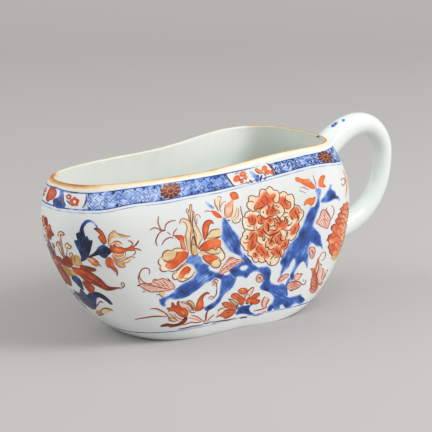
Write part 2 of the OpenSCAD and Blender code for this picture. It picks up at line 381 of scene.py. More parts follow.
# The foot: the slab let in to the wall, cut from the inner edge and softened where it rests
footSet = {"bevel": 0.25, "clear": 0.05, "segments": 2}
bpy.ops.object.select_all(action="DESELECT")
bpy.ops.mesh.primitive_circle_add(vertices=potForm["around"], radius=1, fill_type="NGON")
footBase = bpy.context.object
footBase.name = "footBase"
footEdge = lowRing(0, True)
for corner in footBase.data.vertices:
    k = round(math.atan2(corner.co.y, corner.co.x) / math.tau * potForm["around"]) % potForm["around"]
    edge = footEdge[k]
    corner.co = Vector((edge.x, edge.y, 0)) * (1 - footSet["clear"] / edge.length) * mm
bpy.ops.object.mode_set(mode="EDIT")
bpy.ops.mesh.select_all(action="SELECT")
footTop = (underside - footSet["clear"]) * mm
bpy.ops.mesh.extrude_region_move(TRANSFORM_OT_translate={"value": (0, 0, footTop)})
bpy.ops.object.mode_set(mode="OBJECT")
soften = footBase.modifiers.new("soften", "BEVEL")
soften.width = footSet["bevel"] * mm
soften.segments = footSet["segments"]
bpy.ops.object.modifier_apply(modifier="soften")
finishShape(footBase, biscuit, ["base_slab"])
print("foot", len(footBase.data.polygons))


def treeOf(piece):
    # a piece's faces, to cast onto
    mesh = piece.data
    return BVHTree.FromPolygons([v.co for v in mesh.vertices], [list(p.vertices) for p in mesh.polygons])


wallTree = treeOf(potWall)

# The handle: a pulled loop between two roots, in mm, with slip wiped round each root
handleForm = {
    "reach": 146, "outH": 73, "upperRootH": 75.5, "lowerRootH": 30,
    "upperSlope": 43, "lowerSlope": 1, "d": 11.4, "upperRootD": 16.4, "lowerRootD": 15,
    "upperTaper": 2.2, "lowerTaper": 1.3, "rootDepth": 0.2, "castFrom": 60, "shareStep": 0.005,
    "upperPull": 47.5, "topPull": 12, "fallPull": 20.5, "lowerPull": 45,
    "filletRun": 6.5, "filletSpread": 3.0, "filletRows": 9, "sink": 0.5,
    "around": 48, "rows": 44, "pool": 0.5,
}


def cubic(curve, t):
    a, b, c, d = curve
    return a * (1 - t) ** 3 + b * 3 * t * (1 - t) ** 2 + c * 3 * t * t * (1 - t) + d * t ** 3


def cubicAim(curve, t):
    a, b, c, d = curve
    return ((b - a) * (1 - t) ** 2 + (c - b) * 2 * t * (1 - t) + (d - c) * t * t).normalized()


def roundSection(centre, aim, d):
    side = Vector((-aim.z, 0, aim.x))
    ring = []
    for j in range(handleForm["around"]):
        angle = j * math.tau / handleForm["around"]
        ring.append(centre + (side * math.cos(angle) - Vector((0, 1, 0)) * math.sin(angle)) * d / 2)
    return ring


def rootRings(curve, share, d, aim):
    # from inside the wall, out over the wiped slip, to the clear handle
    clear = roundSection(cubic(curve, share), aim, d)
    rings = [[] for k in range(handleForm["filletRows"] + 2)]
    middle = sum(clear, Vector()) / len(clear)
    for point in clear:
        seat = wallTree.ray_cast(point * mm, -aim)[0] / mm
        out = point - middle
        spread = seat + out.normalized() * handleForm["filletSpread"]
        onWall, normal = wallTree.find_nearest(spread * mm)[:2]
        onWall = onWall / mm
        rings[0].append(onWall - normal * handleForm["sink"] - out.normalized() * handleForm["sink"])
        for k in range(handleForm["filletRows"] + 1):
            t = k / handleForm["filletRows"]
            rings[k + 1].append(onWall * (1 - t) ** 2 + seat * 2 * t * (1 - t) + point * t * t)
    return rings


def slopeAim(degrees):
    return Vector((math.cos(math.radians(degrees)), 0, math.sin(math.radians(degrees))))


def rootPoint(height):
    return wallAt(0, height, potForm["wallT"] + handleForm["rootDepth"])


upperRoot, lowerRoot = rootPoint(handleForm["upperRootH"]), rootPoint(handleForm["lowerRootH"])
upperAim, lowerAim = slopeAim(handleForm["upperSlope"]), slopeAim(handleForm["lowerSlope"])
outermost = Vector((handleForm["reach"] - handleForm["d"] / 2, 0, handleForm["outH"]))
upCurve = [upperRoot, upperRoot + upperAim * handleForm["upperPull"],
           outermost + Vector((0, 0, handleForm["topPull"])), outermost]
downCurve = [lowerRoot, lowerRoot + lowerAim * handleForm["lowerPull"],
             outermost - Vector((0, 0, handleForm["fallPull"])), outermost]


def clearShare(curve, root, aim, d):
    # how far along the curve the slip ends
    starts = [p + aim * handleForm["castFrom"] for p in roundSection(root, aim, d)]
    deepest = max((wallTree.ray_cast(p * mm, -aim)[0] / mm - root).dot(aim) for p in starts)
    share = 0.0
    while (cubic(curve, share) - root).dot(aim) < deepest + handleForm["filletRun"]:
        share += handleForm["shareStep"]
    return share


def upD(t):
    return mix(handleForm["d"], handleForm["upperRootD"], (1 - t) ** handleForm["upperTaper"])


def downD(t):
    return mix(handleForm["d"], handleForm["lowerRootD"], (1 - t) ** handleForm["lowerTaper"])


upClear = clearShare(upCurve, upperRoot, upperAim, handleForm["upperRootD"])
downClear = clearShare(downCurve, lowerRoot, lowerAim, handleForm["lowerRootD"])
loopRings = rootRings(upCurve, upClear, upD(upClear), cubicAim(upCurve, upClear))
for k in range(1, handleForm["rows"] + 1):
    t = mix(upClear, 1, k / handleForm["rows"])
    loopRings.append(roundSection(cubic(upCurve, t), cubicAim(upCurve, t), upD(t)))
lowerRings = rootRings(downCurve, downClear, downD(downClear), cubicAim(downCurve, downClear))
for k in range(1, handleForm["rows"]):
    t = mix(downClear, 1, k / handleForm["rows"])
    lowerRings.append(roundSection(cubic(downCurve, t), cubicAim(downCurve, t), downD(t)))
half = handleForm["around"] // 2
for ring in reversed(lowerRings):  # the two runs meet head on, so the lower one's rings turn round
    loopRings.append([ring[(half - j) % handleForm["around"]] for j in range(handleForm["around"])])
loopHandle = drawTube("loopHandle", handleForm["around"], len(loopRings))
bendTube(loopHandle, handleForm["around"], loopRings)
bpy.ops.object.mode_set(mode="EDIT")
bpy.ops.mesh.select_all(action="DESELECT")
bpy.ops.mesh.select_mode(type="EDGE")
bpy.ops.mesh.select_non_manifold()
bpy.ops.mesh.edge_face_add()  # caps inside the wall
bpy.ops.object.mode_set(mode="OBJECT")
finishShape(loopHandle, glaze, ["handle", "upper_luting", "lower_luting"], sharp=60)
pool = loopHandle.data.attributes.new("pool", "FLOAT", "POINT")
pool.data.foreach_set("value", [handleForm["pool"]] * len(loopHandle.data.vertices))
print("handle", len(loopHandle.data.polygons))

# Camera at the photograph's viewing angle
cameraSet = {"azimuth": -39.07, "elevation": 15.09, "distance": 1000, "lens": 153.6, "sensor": 36,
             "target": (0, 0, 45), "aimRight": 10.79, "aimUp": 11.5, "clip": (0.01, 20)}
azimuth, elevation = math.radians(cameraSet["azimuth"]), math.radians(cameraSet["elevation"])
rightward = Vector((math.cos(azimuth), math.sin(azimuth), 0))
backward = Vector((math.sin(azimuth) * math.cos(elevation), -math.cos(azimuth) * math.cos(elevation),
                   math.sin(elevation)))
upward = backward.cross(rightward)
target = Vector(cameraSet["target"])
bpy.ops.object.camera_add(location=(target + backward * cameraSet["distance"]) * mm)
camera = bpy.context.object
camera.data.lens = cameraSet["lens"]
camera.data.sensor_width = cameraSet["sensor"]
aim = (target + rightward * cameraSet["aimRight"] + upward * cameraSet["aimUp"]) * mm
camera.rotation_mode = "QUATERNION"
camera.rotation_quaternion = (aim - camera.location).to_track_quat("-Z", "Y")
camera.data.clip_start, camera.data.clip_end = cameraSet["clip"]
bpy.context.scene.camera = camera
focal = cameraSet["lens"] / cameraSet["sensor"] * photoSide


def sightLine(x, y):
    # direction from the camera through a pixel of the photograph's frame
    middle = photoSide / 2
    return camera.rotation_quaternion @ Vector(((x - middle) / focal, (middle - y) / focal, -1))


# The painting: each stroke is a thin film of colour on the glaze. Outlines and lines were read off the
# photograph, in pixels of its 432 frame, and are cast from the camera onto the pot.
paintSet = {
    "step": 1.0, "grid": 1.7, "keepOff": 0.8, "join": 1e-4,  # spacing in pixels
    "pixel": 0.54, "pen": 0.95,  # mm in a pixel at the pot, and how fine the outlines are
    "tipW": 0.3, "tipPower": 0.6, "tipTone": 0.85,  # how a line thins and pales at its ends
    "bloomOut": 1.5, "outlineW": 0.65, "outline": 0.6,  # shaded petals spread, and some are drawn round
    "stack": 0.0005, "stackRun": 30,  # overlapping strokes lie a hair apart
    "sink": 0.06,  # a film's back is this deep in the glaze
    "farGap": 1.5,  # mm; strokes this close to the middle plane aren't repeated on the far side
    "middle": (200, 240), "drawIn": 0.02, "drawSteps": 30,  # where strokes off the pot are drawn in to
}
hatchSet = {"ground": 0.15, "open": 1.15, "lineW": 0.5, "line": 0.62, "edgeW": 0.6, "edge": 0.75}
# Layers from the glaze up: mm above it, how the colour changes towards a stroke's edge, and over how
# many pixels
layerSet = {
    "dressed": {"lift": 0.03, "edge": 0, "edgeReach": 1},
    "ribbon": {"lift": 0.035, "edge": 0, "edgeReach": 1},
    "blue": {"lift": 0.06, "edge": -0.42, "edgeReach": 0.9},
    "deep": {"lift": 0.06, "edge": -0.14, "edgeReach": 0.8},
    "white": {"lift": 0.085, "edge": 0, "edgeReach": 1},
    "over": {"lift": 0.11, "edge": -0.2, "edgeReach": 0.8},
    "ground": {"lift": 0.1, "edge": 0, "edgeReach": 1},
    "pink": {"lift": 0.1, "edge": 0.15, "edgeReach": 1},
    "gold": {"lift": 0.105, "edge": 0.2, "edgeReach": 1.3},
    "bloom": {"lift": 0.125, "edge": -0.5, "edgeReach": 1.9},
    "red": {"lift": 0.13, "edge": 0.08, "edgeReach": 1.2},
    "lines": {"lift": 0.155, "edge": 0, "edgeReach": 1},
    "gilt": {"lift": 0.18, "edge": 0, "edgeReach": 1},
}
films = {layer: {"points": [], "faces": [], "tones": [], "tracks": [], "normals": [], "strokes": 0}
         for layer in layerSet}


def carrier(piece):
    # what a stroke lies on: its faces for the cast, and its smooth normals
    mesh = piece.data
    return {"tree": treeOf(piece), "mesh": mesh, "normals": [n.vector.copy() for n in mesh.vertex_normals]}


def castOn(carried, x, y):
    # a stroke that runs over the pot's outline is drawn in to it
    middleX, middleY = paintSet["middle"]
    for inward in range(paintSet["drawSteps"]):
        t = inward * paintSet["drawIn"]
        line = sightLine(mix(x, middleX, t), mix(y, middleY, t)).normalized()
        hit, normal, face, reach = carried["tree"].ray_cast(camera.location, line)
        if hit is not None:
            break
    corners = list(carried["mesh"].polygons[face].vertices)
    weights = poly_3d_calc([carried["mesh"].vertices[v].co for v in corners], hit)
    normal = sum((carried["normals"][v] * w for v, w in zip(corners, weights)), Vector()).normalized()
    return hit, normal


onWall = carrier(potWall)
onHandle = carrier(loopHandle)
onLip = carrier(potLip)


def wallPlace(x, y):
    return castOn(onWall, x, y)


def handlePlace(x, y):
    return castOn(onHandle, x, y)


def lipPlace(x, y):
    return castOn(onLip, x, y)


def seatAt(turn, z):
    # the same for a turn and a height in mm
    return onWall["tree"].find_nearest(wallAt(turn, z) * mm)[0], wallNormal(turn, z)


def smoothPath(points, closed, step):
    # a curve through the points, sampled about every step
    points = [Vector(p) for p in points]
    count = len(points)
    path = []
    for k in range(count if closed else count - 1):
        picks = [k + j if not closed else (k + j) % count for j in (-1, 0, 1, 2)]
        a, b, c, d = (points[max(0, min(count - 1, j))] for j in picks)
        steps = max(1, math.ceil((c - b).length / step))
        for j in range(steps):
            t = j / steps
            path.append(0.5 * (2 * b + (c - a) * t + (2 * a - 5 * b + 4 * c - d) * t * t
                               + (3 * b - a - 3 * c + d) * t ** 3))
    return path if closed else path + [points[-1]]


def insideLoop(p, loop):
    odd = False
    for a, b in zip(loop, loop[1:] + loop[:1]):
        if (a.y > p.y) != (b.y > p.y) and p.x < (b.x - a.x) * (p.y - a.y) / (b.y - a.y) + a.x:
            odd = not odd
    return odd


def addFilm(layer, seats, faces, tones, tracks):
    # seats are (point, normal) pairs on the pot; the film gets a back and sides, so it is a closed solid
    film = films[layer]
    lift = (layerSet[layer]["lift"] + film["strokes"] % paintSet["stackRun"] * paintSet["stack"]) * mm
    film["strokes"] += 1
    sink = paintSet["sink"] * mm
    base, count = len(film["points"]), len(seats)
    film["points"] += [p + n * lift for p, n in seats] + [p - n * sink for p, n in seats]
    film["tones"] += tones + tones
    film["tracks"] += tracks + tracks
    outward = [n for p, n in seats]
    used = {}
    for face in faces:
        for a, b in zip(face, face[1:] + face[:1]):
            used[(a, b)] = True
        film["faces"].append([base + v for v in face])
        film["normals"] += [outward[v] for v in face]
        film["faces"].append([base + count + v for v in reversed(face)])
        film["normals"] += [-outward[v] for v in reversed(face)]
    for a, b in used:
        if (b, a) not in used:
            along = seats[b][0] - seats[a][0]
            edgeNormal = along.cross(outward[a]).normalized()
            film["faces"].append([base + b, base + a, base + count + a, base + count + b])
            film["normals"] += [edgeNormal] * 4


def layFilm(layer, seats, faces, tones, tracks, bothSides=True):
    # faces turn towards the outside of the pot, and the far side gets the stroke mirrored
    a, b, c = (seats[v][0] for v in faces[0][:3])
    if (b - a).cross(c - a).dot(seats[faces[0][0]][1]) < 0:
        faces = [list(reversed(face)) for face in faces]
    addFilm(layer, seats, faces, tones, tracks)
    if bothSides and max(p.y for p, n in seats) < -paintSet["farGap"] * mm:
        flipped = [(Vector((p.x, -p.y, p.z)), Vector((n.x, -n.y, n.z))) for p, n in seats]
        addFilm(layer, flipped, [list(reversed(face)) for face in faces], tones, tracks)


def paintWash(layer, edge, tone, spots=(), holes=(), place=None, bothSides=True):
    # a filled outline; spots are (x, y, reach, change of tone), and colour pools along the edge
    loops = [smoothPath(loop, True, paintSet["step"]) for loop in [edge, *holes]]
    corners = [p for loop in loops for p in loop]
    edges, start = [], 0
    for loop in loops:
        edges += [(start + k, start + (k + 1) % len(loop)) for k in range(len(loop))]
        start += len(loop)
    rim = KDTree(len(corners))
    for k, p in enumerate(corners):
        rim.insert((p.x, p.y, 0), k)
    rim.balance()
    spacing = paintSet["grid"]
    lowX, highX = min(p.x for p in loops[0]), max(p.x for p in loops[0])
    lowY, highY = min(p.y for p in loops[0]), max(p.y for p in loops[0])
    for row in range(int((highY - lowY) / spacing) + 1):
        for column in range(int((highX - lowX) / spacing) + 1):
            p = Vector((lowX + (column + 0.5 * (row % 2)) * spacing, lowY + row * spacing))
            if insideLoop(p, loops[0]) and rim.find((p.x, p.y, 0))[2] > paintSet["keepOff"]:
                corners.append(p)
    outline = [list(range(len(loops[0])))]
    made = delaunay_2d_cdt(corners, edges, outline, 1, paintSet["join"])  # 1 keeps what is inside
    points = [Vector(p) for p in made[0]]
    faces = []
    for face in made[2]:
        middle = sum((points[v] for v in face), Vector((0, 0))) / len(face)
        if not any(insideLoop(middle, hole) for hole in loops[1:]):
            faces.append(list(face))
    mean = sum(loops[0], Vector((0, 0))) / len(loops[0])
    slant = sum((p.x - mean.x) * (p.y - mean.y) for p in loops[0]) * 2
    spread = sum((p.x - mean.x) ** 2 - (p.y - mean.y) ** 2 for p in loops[0])
    turn = math.atan2(slant, spread) / 2  # the stroke's long way, which the brush followed
    tones, tracks, seats = [], [], []
    for p in points:
        inward = rim.find((p.x, p.y, 0))[2] / layerSet[layer]["edgeReach"]
        pooled = math.exp(-inward * inward) * layerSet[layer]["edge"]
        local = sum(change * math.exp(-((p.x - x) ** 2 + (p.y - y) ** 2) / reach ** 2)
                    for x, y, reach, change in spots)
        tones.append(clip01(tone + pooled + local))
        tracks.append(((p.x * math.cos(turn) + p.y * math.sin(turn)) * paintSet["pixel"],
                       (p.y * math.cos(turn) - p.x * math.sin(turn)) * paintSet["pixel"]))
        seats.append((place or wallPlace)(p.x, p.y))
    layFilm(layer, seats, faces, tones, tracks, bothSides)


def paintLine(layer, spine, width, tone, place=None, bothSides=True, closed=False):
    # a brush line that starts and ends fine; width in pixels at its middle
    path = smoothPath(spine, closed, paintSet["step"])
    count = len(path)
    seats, faces, tones, tracks, run = [], [], [], [], 0.0
    for k, p in enumerate(path):
        ahead = path[(k + 1) % count] if closed else path[min(k + 1, count - 1)]
        behind = path[k - 1] if closed else path[max(k - 1, 0)]
        aim = (ahead - behind).normalized()
        share = k / max(1, count - 1)
        swell = 1.0 if closed else math.sin(math.pi * share) ** paintSet["tipPower"]
        taper = mix(paintSet["tipW"], 1, swell)
        reach = Vector((-aim.y, aim.x)) * width * taper / 2
        run += (p - behind).length * paintSet["pixel"]
        for side in (-1, 1):
            q = p + reach * side
            seats.append((place or wallPlace)(q.x, q.y))
            tones.append(clip01(tone * mix(paintSet["tipTone"], 1, taper)))
            tracks.append((run, side * width * paintSet["pixel"] / 2))
    for k in range(count if closed else count - 1):
        a, b = 2 * k, 2 * ((k + 1) % count)
        faces.append([a, a + 1, b + 1, b])
    layFilm(layer, seats, faces, tones, tracks, bothSides)


def hatch(edge, degrees, gap, width, tone):
    # fine parallel lines inside an outline
    loop = smoothPath(edge, True, paintSet["step"])
    aim = Vector((math.cos(math.radians(degrees)), math.sin(math.radians(degrees))))
    side = Vector((-aim.y, aim.x))
    levels = [p.dot(side) for p in loop]
    level = min(levels) + gap / 2
    while level < max(levels):
        cuts = []
        for a, b in zip(loop, loop[1:] + loop[:1]):
            overA, overB = a.dot(side) - level, b.dot(side) - level
            if (overA < 0) != (overB < 0):
                cuts.append(mix(a, b, overA / (overA - overB)).dot(aim))
        cuts.sort()
        for start, end in zip(cuts[::2], cuts[1::2]):
            if end - start > gap:
                paintLine("red", [side * level + aim * start, side * level + aim * end], width, tone)
        level += gap


def grown(edge, out):
    # an outline moved out from its middle
    middle = sum((Vector(p) for p in edge), Vector((0, 0))) / len(edge)
    return [Vector(p) + (Vector(p) - middle).normalized() * out for p in edge]


def paintMotif(motif, place=None, bothSides=True):
    for layer in ("blue", "deep", "over", "ground", "pink", "gold", "bloom", "red"):
        for edge, *wash in motif.get(layer, ()):
            edge = grown(edge, paintSet["bloomOut"]) if layer == "bloom" else edge
            paintWash(layer, edge, *wash, place=place, bothSides=bothSides)
            if layer in motif.get("outlined", ()):
                paintLine("lines", edge, paintSet["outlineW"], paintSet["outline"], place, bothSides, True)
    for edge, degrees, gap in motif.get("hatched", ()):
        paintWash("pink", edge, hatchSet["ground"])
        hatch(edge, degrees, gap * hatchSet["open"], hatchSet["lineW"], hatchSet["line"])
        paintLine("red", edge, hatchSet["edgeW"], hatchSet["edge"], closed=True)
    for layer, lines in (("blue", "blueLines"), ("over", "overLines"), ("red", "redLines"),
                         ("lines", "lines")):
        pen = paintSet["pen"] if layer == "lines" else 1
        for spine, width, tone in motif.get(lines, ()):
            paintLine(layer, spine, width * pen, tone, place, bothSides)


# Motifs: washes are (outline, tone, and spots if any), lines are (points, width, tone), and hatched
# leaves are (outline, degrees, gap)
frontSpray = {
    "outlined": ("red",),
    "deep": [
        # curled leaf
        ([(98, 227.5), (95.5, 223.5), (92.5, 221), (89, 219.6), (85.5, 220.3), (82.3, 223.3), (80.2, 227.5),
          (79, 232), (76.2, 233.2), (76.4, 236.5), (77, 239.8), (74.2, 240.5), (75.4, 244.5), (77.3, 248.5),
          (79.5, 253), (81, 257), (81, 261.5), (85, 260.5), (88, 257), (90, 253), (91.3, 248), (92.2, 244),
          (92.4, 240.2), (89.5, 240), (88, 237.5), (87.3, 235.6), (85.6, 236.4), (84.3, 232), (83.8, 228.5),
          (85.5, 225.2), (88.2, 222.8), (91.2, 222.3), (94, 224), (96.8, 228)], 0.98, [(84, 256, 6, 0.2),
          (94, 222, 7, -0.5), (87, 221, 5, -0.2)]),
        # stem and calyx
        ([(88, 256.5), (93, 253.3), (96, 250.5), (98, 247.3), (101, 245.2), (104, 244.6), (107, 246.6),
          (109.5, 248.3), (112, 250.5), (111.3, 252.8), (108.5, 255.2), (106, 258.4), (102, 257.4),
          (99, 255.2), (94, 256.4), (89, 257.8)], 0.98, [(102, 247, 4, -0.3), (110, 251.5, 4, 0.3),
          (92, 255.5, 5, 0.1)]),
        ([(72, 276), (75, 275.4), (78, 277), (80.5, 279.6), (82.2, 283), (83.2, 287), (84, 290.4),
          (81.5, 289.2), (79, 286.6), (76, 283.6), (73.5, 281), (71.8, 278.4)], 1.05, [(77, 280, 4, -0.2)]),
        ([(71, 290.3), (74, 290.6), (77, 291.8), (79.6, 292.4), (80, 289), (82.5, 290.2), (84.5, 292.4),
          (87, 294.6), (89.5, 292.6), (93, 291.6), (97.5, 292), (101.5, 293.6), (105, 295.8),
          (108.5, 298.6), (111, 301.4), (112.8, 304.2), (110.6, 304.6), (107.6, 302.4), (104, 299.8),
          (100.5, 297.8), (97.4, 297.8), (96.4, 301), (96.6, 305), (95.8, 309.2), (92.5, 309.2),
          (88.5, 306.8), (84, 303.4), (80, 299.8), (76, 295.8), (72.6, 292.6)], 1.0, [(108, 300, 6, 0.2),
          (92, 306, 5, -0.15), (84, 298, 5, 0.1)]),
        ([(47.8, 240), (49.8, 243), (51.2, 246.6), (53.4, 250), (56.2, 254.4), (54, 256), (51.2, 253),
          (49, 248)], 0.85),
    ],
    "gold": [
        ([(108, 241.5), (108.5, 236.8), (110.5, 232.8), (113, 231), (115.2, 230), (116.2, 232.6),
          (119, 233.4), (122, 235), (126, 236), (130, 236.2), (126.5, 238.2), (122, 238), (117, 237.4),
          (113, 238.6), (110.2, 241.8)], 0.45, [(114, 234, 4, 0.15)]),
        ([(113.4, 258.6), (116, 261.8), (117.5, 265), (120.5, 267), (125.2, 267), (125.6, 265.4),
          (123.2, 263.4), (126.5, 261.4), (123, 260.6), (118.5, 260.2)], 0.75),
        ([(123.5, 260.8), (127, 258.6), (131, 256.4), (135.2, 257.4), (131.5, 259.6), (128.2, 262),
          (124.6, 263.4)], 0.35),
        ([(110.6, 244.8), (113, 242), (116.5, 241), (120, 242), (122.2, 245), (119, 246.4), (114.5, 245.8)],
          0.1),
        ([(112.4, 254.8), (115, 257.4), (118, 259), (121.4, 258.6), (124.4, 256.6), (125.6, 253.4),
          (121, 253.6), (116, 253.4)], 0.12),
        ([(70, 256), (73, 255), (77, 255.2), (79.6, 257), (80.8, 260.2), (82.2, 263.6), (82.6, 266),
          (79, 266.4), (75, 265.6), (71.4, 264.4), (70, 260)], 0.85, [(73, 259, 3, 0.15)]),
        ([(62, 264), (65, 265.6), (69, 268), (72, 270), (76, 272), (80, 274.6), (82, 277.2), (78, 275.4),
          (74, 275), (70.5, 276.8), (67.4, 273.6), (64, 268.4)], 0.9),
        ([(96, 310.6), (98.6, 310), (101, 311.4), (100.4, 314.6), (98, 314.4), (96.4, 312.8)], 0.95),
        ([(101.6, 309), (105, 308.4), (109, 309), (112, 310.4), (108, 312.2), (104, 313.6), (101.6, 312.4)],
          0.4),
        ([(58.6, 232.6), (61, 231.4), (63.6, 232.6), (64.4, 235.2), (62.4, 237.4), (60.2, 239.4),
          (58.8, 236.4)], 0.3),
        ([(65.2, 245), (67, 242.8), (69.6, 243.4), (71.4, 246.2), (70, 248.6), (67, 249.6), (65.4, 247.6)],
          0.3),
        ([(56.4, 242.4), (58.4, 241.2), (60, 243.2), (59.2, 246.2), (57.2, 246.4)], 0.6),
    ],
    "red": [
        ([(94, 228.5), (97, 228.3), (99.5, 229), (102, 231.3), (104, 234.5), (105.5, 238), (106.3, 242),
          (104.5, 244), (102, 242.5), (100, 239.5), (98.4, 236.6), (100.4, 235.3), (99.3, 233), (97, 231)],
          0.58, [(102, 237, 4, -0.12), (96, 229, 3, 0.25)]),
        ([(110, 246), (113, 245.8), (117, 247), (121, 247), (124, 248.3), (127, 248), (130, 246.8),
          (132, 246.3), (134.3, 247.8), (134.6, 250), (131, 250.5), (127, 250.6), (123, 252.6),
          (119, 253.6), (115, 252.6), (111.5, 251.5)], 0.55, [(117, 250, 3, -0.18), (112, 248, 3, 0.25)]),
        ([(108, 257.5), (105.8, 260.5), (106.2, 264), (107.8, 267), (110, 267.6), (112, 268.6),
          (114, 270.6), (116, 272), (117.6, 275.4), (117.4, 271), (116, 268.4), (114, 266), (112.5, 263),
          (111.2, 260), (110, 257.5)], 0.62, [(113.4, 264, 2.5, -0.3)]),
        ([(87, 257.5), (91, 257.3), (95, 259.3), (98, 262), (98.8, 263.8), (97, 266), (94, 265),
          (91, 262.4), (88, 259.5)], 0.12, [(96, 263, 3, 0.3)]),
        ([(55, 255.8), (58, 256.3), (61, 258), (62, 260.3), (64, 257.3), (66.5, 255.8), (69, 257.5),
          (71, 260), (72.6, 264), (71, 267.2), (67, 266.2), (63, 264.2), (60, 264.6), (57, 261.2)], 0.85),
        ([(58.2, 263.6), (60.4, 265), (62.6, 267), (64.6, 270.4), (67, 274.2), (69.4, 277.8), (70.8, 281.4),
          (71.6, 285.6), (69, 284.6), (66, 281), (63, 276.4), (60, 271), (58, 266.6)], 0.8),
        ([(80, 265.4), (85, 265.8), (90, 267), (94.6, 268.4), (96, 270), (93.6, 271.4), (88, 270.2),
          (82, 268.4)], 0.85),
        ([(72, 267.4), (76, 267.6), (80, 268.2), (85, 269.4), (90, 271.6), (95, 275), (100, 278.5),
          (104, 282.5), (107, 285.5), (111, 287), (116, 287.4), (120, 287.6), (116, 288.8), (112, 290),
          (107, 290.2), (102, 288.2), (97, 285.7), (92, 283.6), (88, 283), (85, 280.5), (82, 277.5),
          (79, 274.6), (75, 271.4)], 0.84, [(79, 271, 7, -0.3), (92, 278, 5, -0.1), (100, 281, 5, 0.1),
          (110, 288, 5, 0.1)]),
        ([(83, 281), (88, 283), (91, 284.6), (94, 287), (94.2, 290.4), (92, 293), (89, 291.4), (86, 287.6),
          (83.6, 284)], 0.8),
        ([(42.4, 216.4), (43.8, 215.8), (44.6, 220), (45.2, 224.4), (43.8, 224.8), (42.6, 220.6)], 0.3),
        ([(45.2, 217.2), (46.6, 217.6), (47.4, 221.4), (47.6, 225.4), (45.8, 224.8), (45, 221)], 0.85),
        ([(46.2, 226.6), (48, 225.6), (50, 224.6), (50.6, 228), (52, 231.6), (54, 234.8), (51.4, 236.4),
          (50.8, 239.6), (48.6, 236.6), (47.4, 232.4)], 0.7, [(48.6, 227, 2.4, -0.35),
          (50.4, 234, 3, 0.2)]),
    ],
    "redLines": [
        ([(112, 255), (115, 259.6), (119.5, 261.6), (124, 260), (127.6, 256.6)], 1.2, 0.45),
        ([(109, 246.4), (109.4, 240.6), (111.6, 237), (114.6, 236)], 1.5, 0.35),
        ([(112, 247), (114.6, 243), (118, 241.8), (121.6, 244)], 1.1, 0.4),
        ([(113, 253), (116, 255.4), (120, 255.4), (123.4, 253.4)], 1.4, 0.42),
        ([(114, 249), (118, 250.4), (122, 250)], 1.2, 0.35),
        ([(121, 248), (126, 249.4), (131, 248)], 1, 0.75),
        ([(111, 257.6), (113.6, 262), (116.6, 265)], 1, 0.5),
    ],
    "lines": [
        ([(108.6, 244), (108.4, 239), (109.6, 234.6), (112, 231.8), (115, 230.2)], 0.9, 0.6),
        ([(115, 230.2), (116.4, 232.8), (121, 234.4), (126, 235.8), (130.6, 236.2)], 0.8, 0.55),
        ([(117, 233), (120, 235.6), (125, 236.6)], 0.6, 0.4),
        ([(110.6, 236), (112.6, 234), (114, 231.6)], 0.6, 0.4),
        ([(110.4, 245), (113, 242.2), (116.5, 241), (120, 242), (122.3, 245)], 0.9, 0.5),
        ([(111.4, 247), (114, 244.6), (117, 243.6), (119.8, 245.6)], 0.8, 0.4),
        ([(113.4, 245.2), (115, 245.2), (117, 245.8)], 1.0, 0.7),
        ([(112.2, 254.6), (114.6, 257.6), (117.6, 259.2), (121.2, 258.8), (124.2, 256.8), (125.6, 253.4),
          (125.3, 251.2)], 0.9, 0.5),
        ([(114, 254.6), (116.2, 256.6), (119.6, 257), (122.8, 255.2), (124, 252.6)], 0.8, 0.4),
        ([(130, 247), (132.6, 244.2), (131.2, 241.6), (127.8, 240.6)], 1.3, 0.5),
        ([(132.6, 247), (135.6, 245), (137.6, 242.4), (138.8, 240.2)], 1.7, 0.6),
        ([(134, 248.3), (138, 249), (141.4, 250.6)], 1.3, 0.6),
        ([(134.4, 249.6), (135.6, 252), (134.2, 254.4), (132, 255.2)], 0.9, 0.5),
        ([(113, 259), (116, 262.2), (117.6, 265.2), (120.6, 267.2), (125.4, 267)], 0.8, 0.55),
        ([(122, 260.6), (127, 258.6), (131, 256.6), (135.4, 257.6)], 0.9, 0.55),
        ([(125.6, 265.4), (123.2, 263.4), (128, 262), (130.6, 260)], 0.8, 0.5),
        ([(97.6, 264), (99.6, 265), (101.4, 266.6)], 0.9, 0.6),
        ([(88, 257.6), (93, 258.2), (97.4, 261.4)], 0.8, 0.7),
        ([(89, 260), (93, 264.4), (97, 266)], 0.8, 0.6),
        ([(116, 288), (121, 288.1), (123.6, 287), (124.6, 285), (123.4, 283), (121.2, 283), (121.6, 285.6),
          (123, 286.2)], 1.0, 0.65),
        ([(61.4, 239), (62.2, 246), (63.4, 252), (65.4, 258)], 0.8, 0.45),
        ([(60, 239), (60.8, 246), (62.2, 252), (64, 258)], 0.8, 0.45),
        ([(58.4, 246.6), (60.4, 252), (63.6, 257.6)], 0.8, 0.45), ([(67.4, 249.8), (66.2, 256)], 0.8, 0.45),
        ([(58.4, 236.6), (58.2, 233.4), (60, 231.6), (62.2, 232), (64.4, 234.4), (62.6, 235), (60.4, 234.4),
          (61, 237.4), (59.8, 239.4)], 1.0, 0.75),
        ([(65.2, 247.4), (65.4, 244.4), (67.4, 242.8), (69, 245), (71.4, 246.4), (69.6, 248.8),
          (67.2, 247.4), (66.4, 249.6)], 1.0, 0.75),
        ([(56.6, 246), (56.6, 242.8), (58.6, 241.4), (59.6, 244.6)], 0.9, 0.7),
        ([(69.6, 255.6), (70, 252.8), (72.2, 253.4), (72.6, 255.6)], 0.9, 0.7),
        ([(74, 256), (74.6, 259.4), (76, 263)], 0.8, 0.6),
        ([(70.6, 257), (72, 261), (72.6, 266)], 0.8, 0.75),
        ([(72, 267.6), (78, 270.6), (84, 275), (90, 280)], 0.7, 0.7),
        ([(73, 267), (80, 268.6), (88, 272.4), (97, 278)], 0.7, 0.7),
        ([(69, 269), (71, 273.4), (74, 276)], 0.7, 0.7), ([(64, 266), (68, 271), (70, 276.6)], 0.7, 0.7),
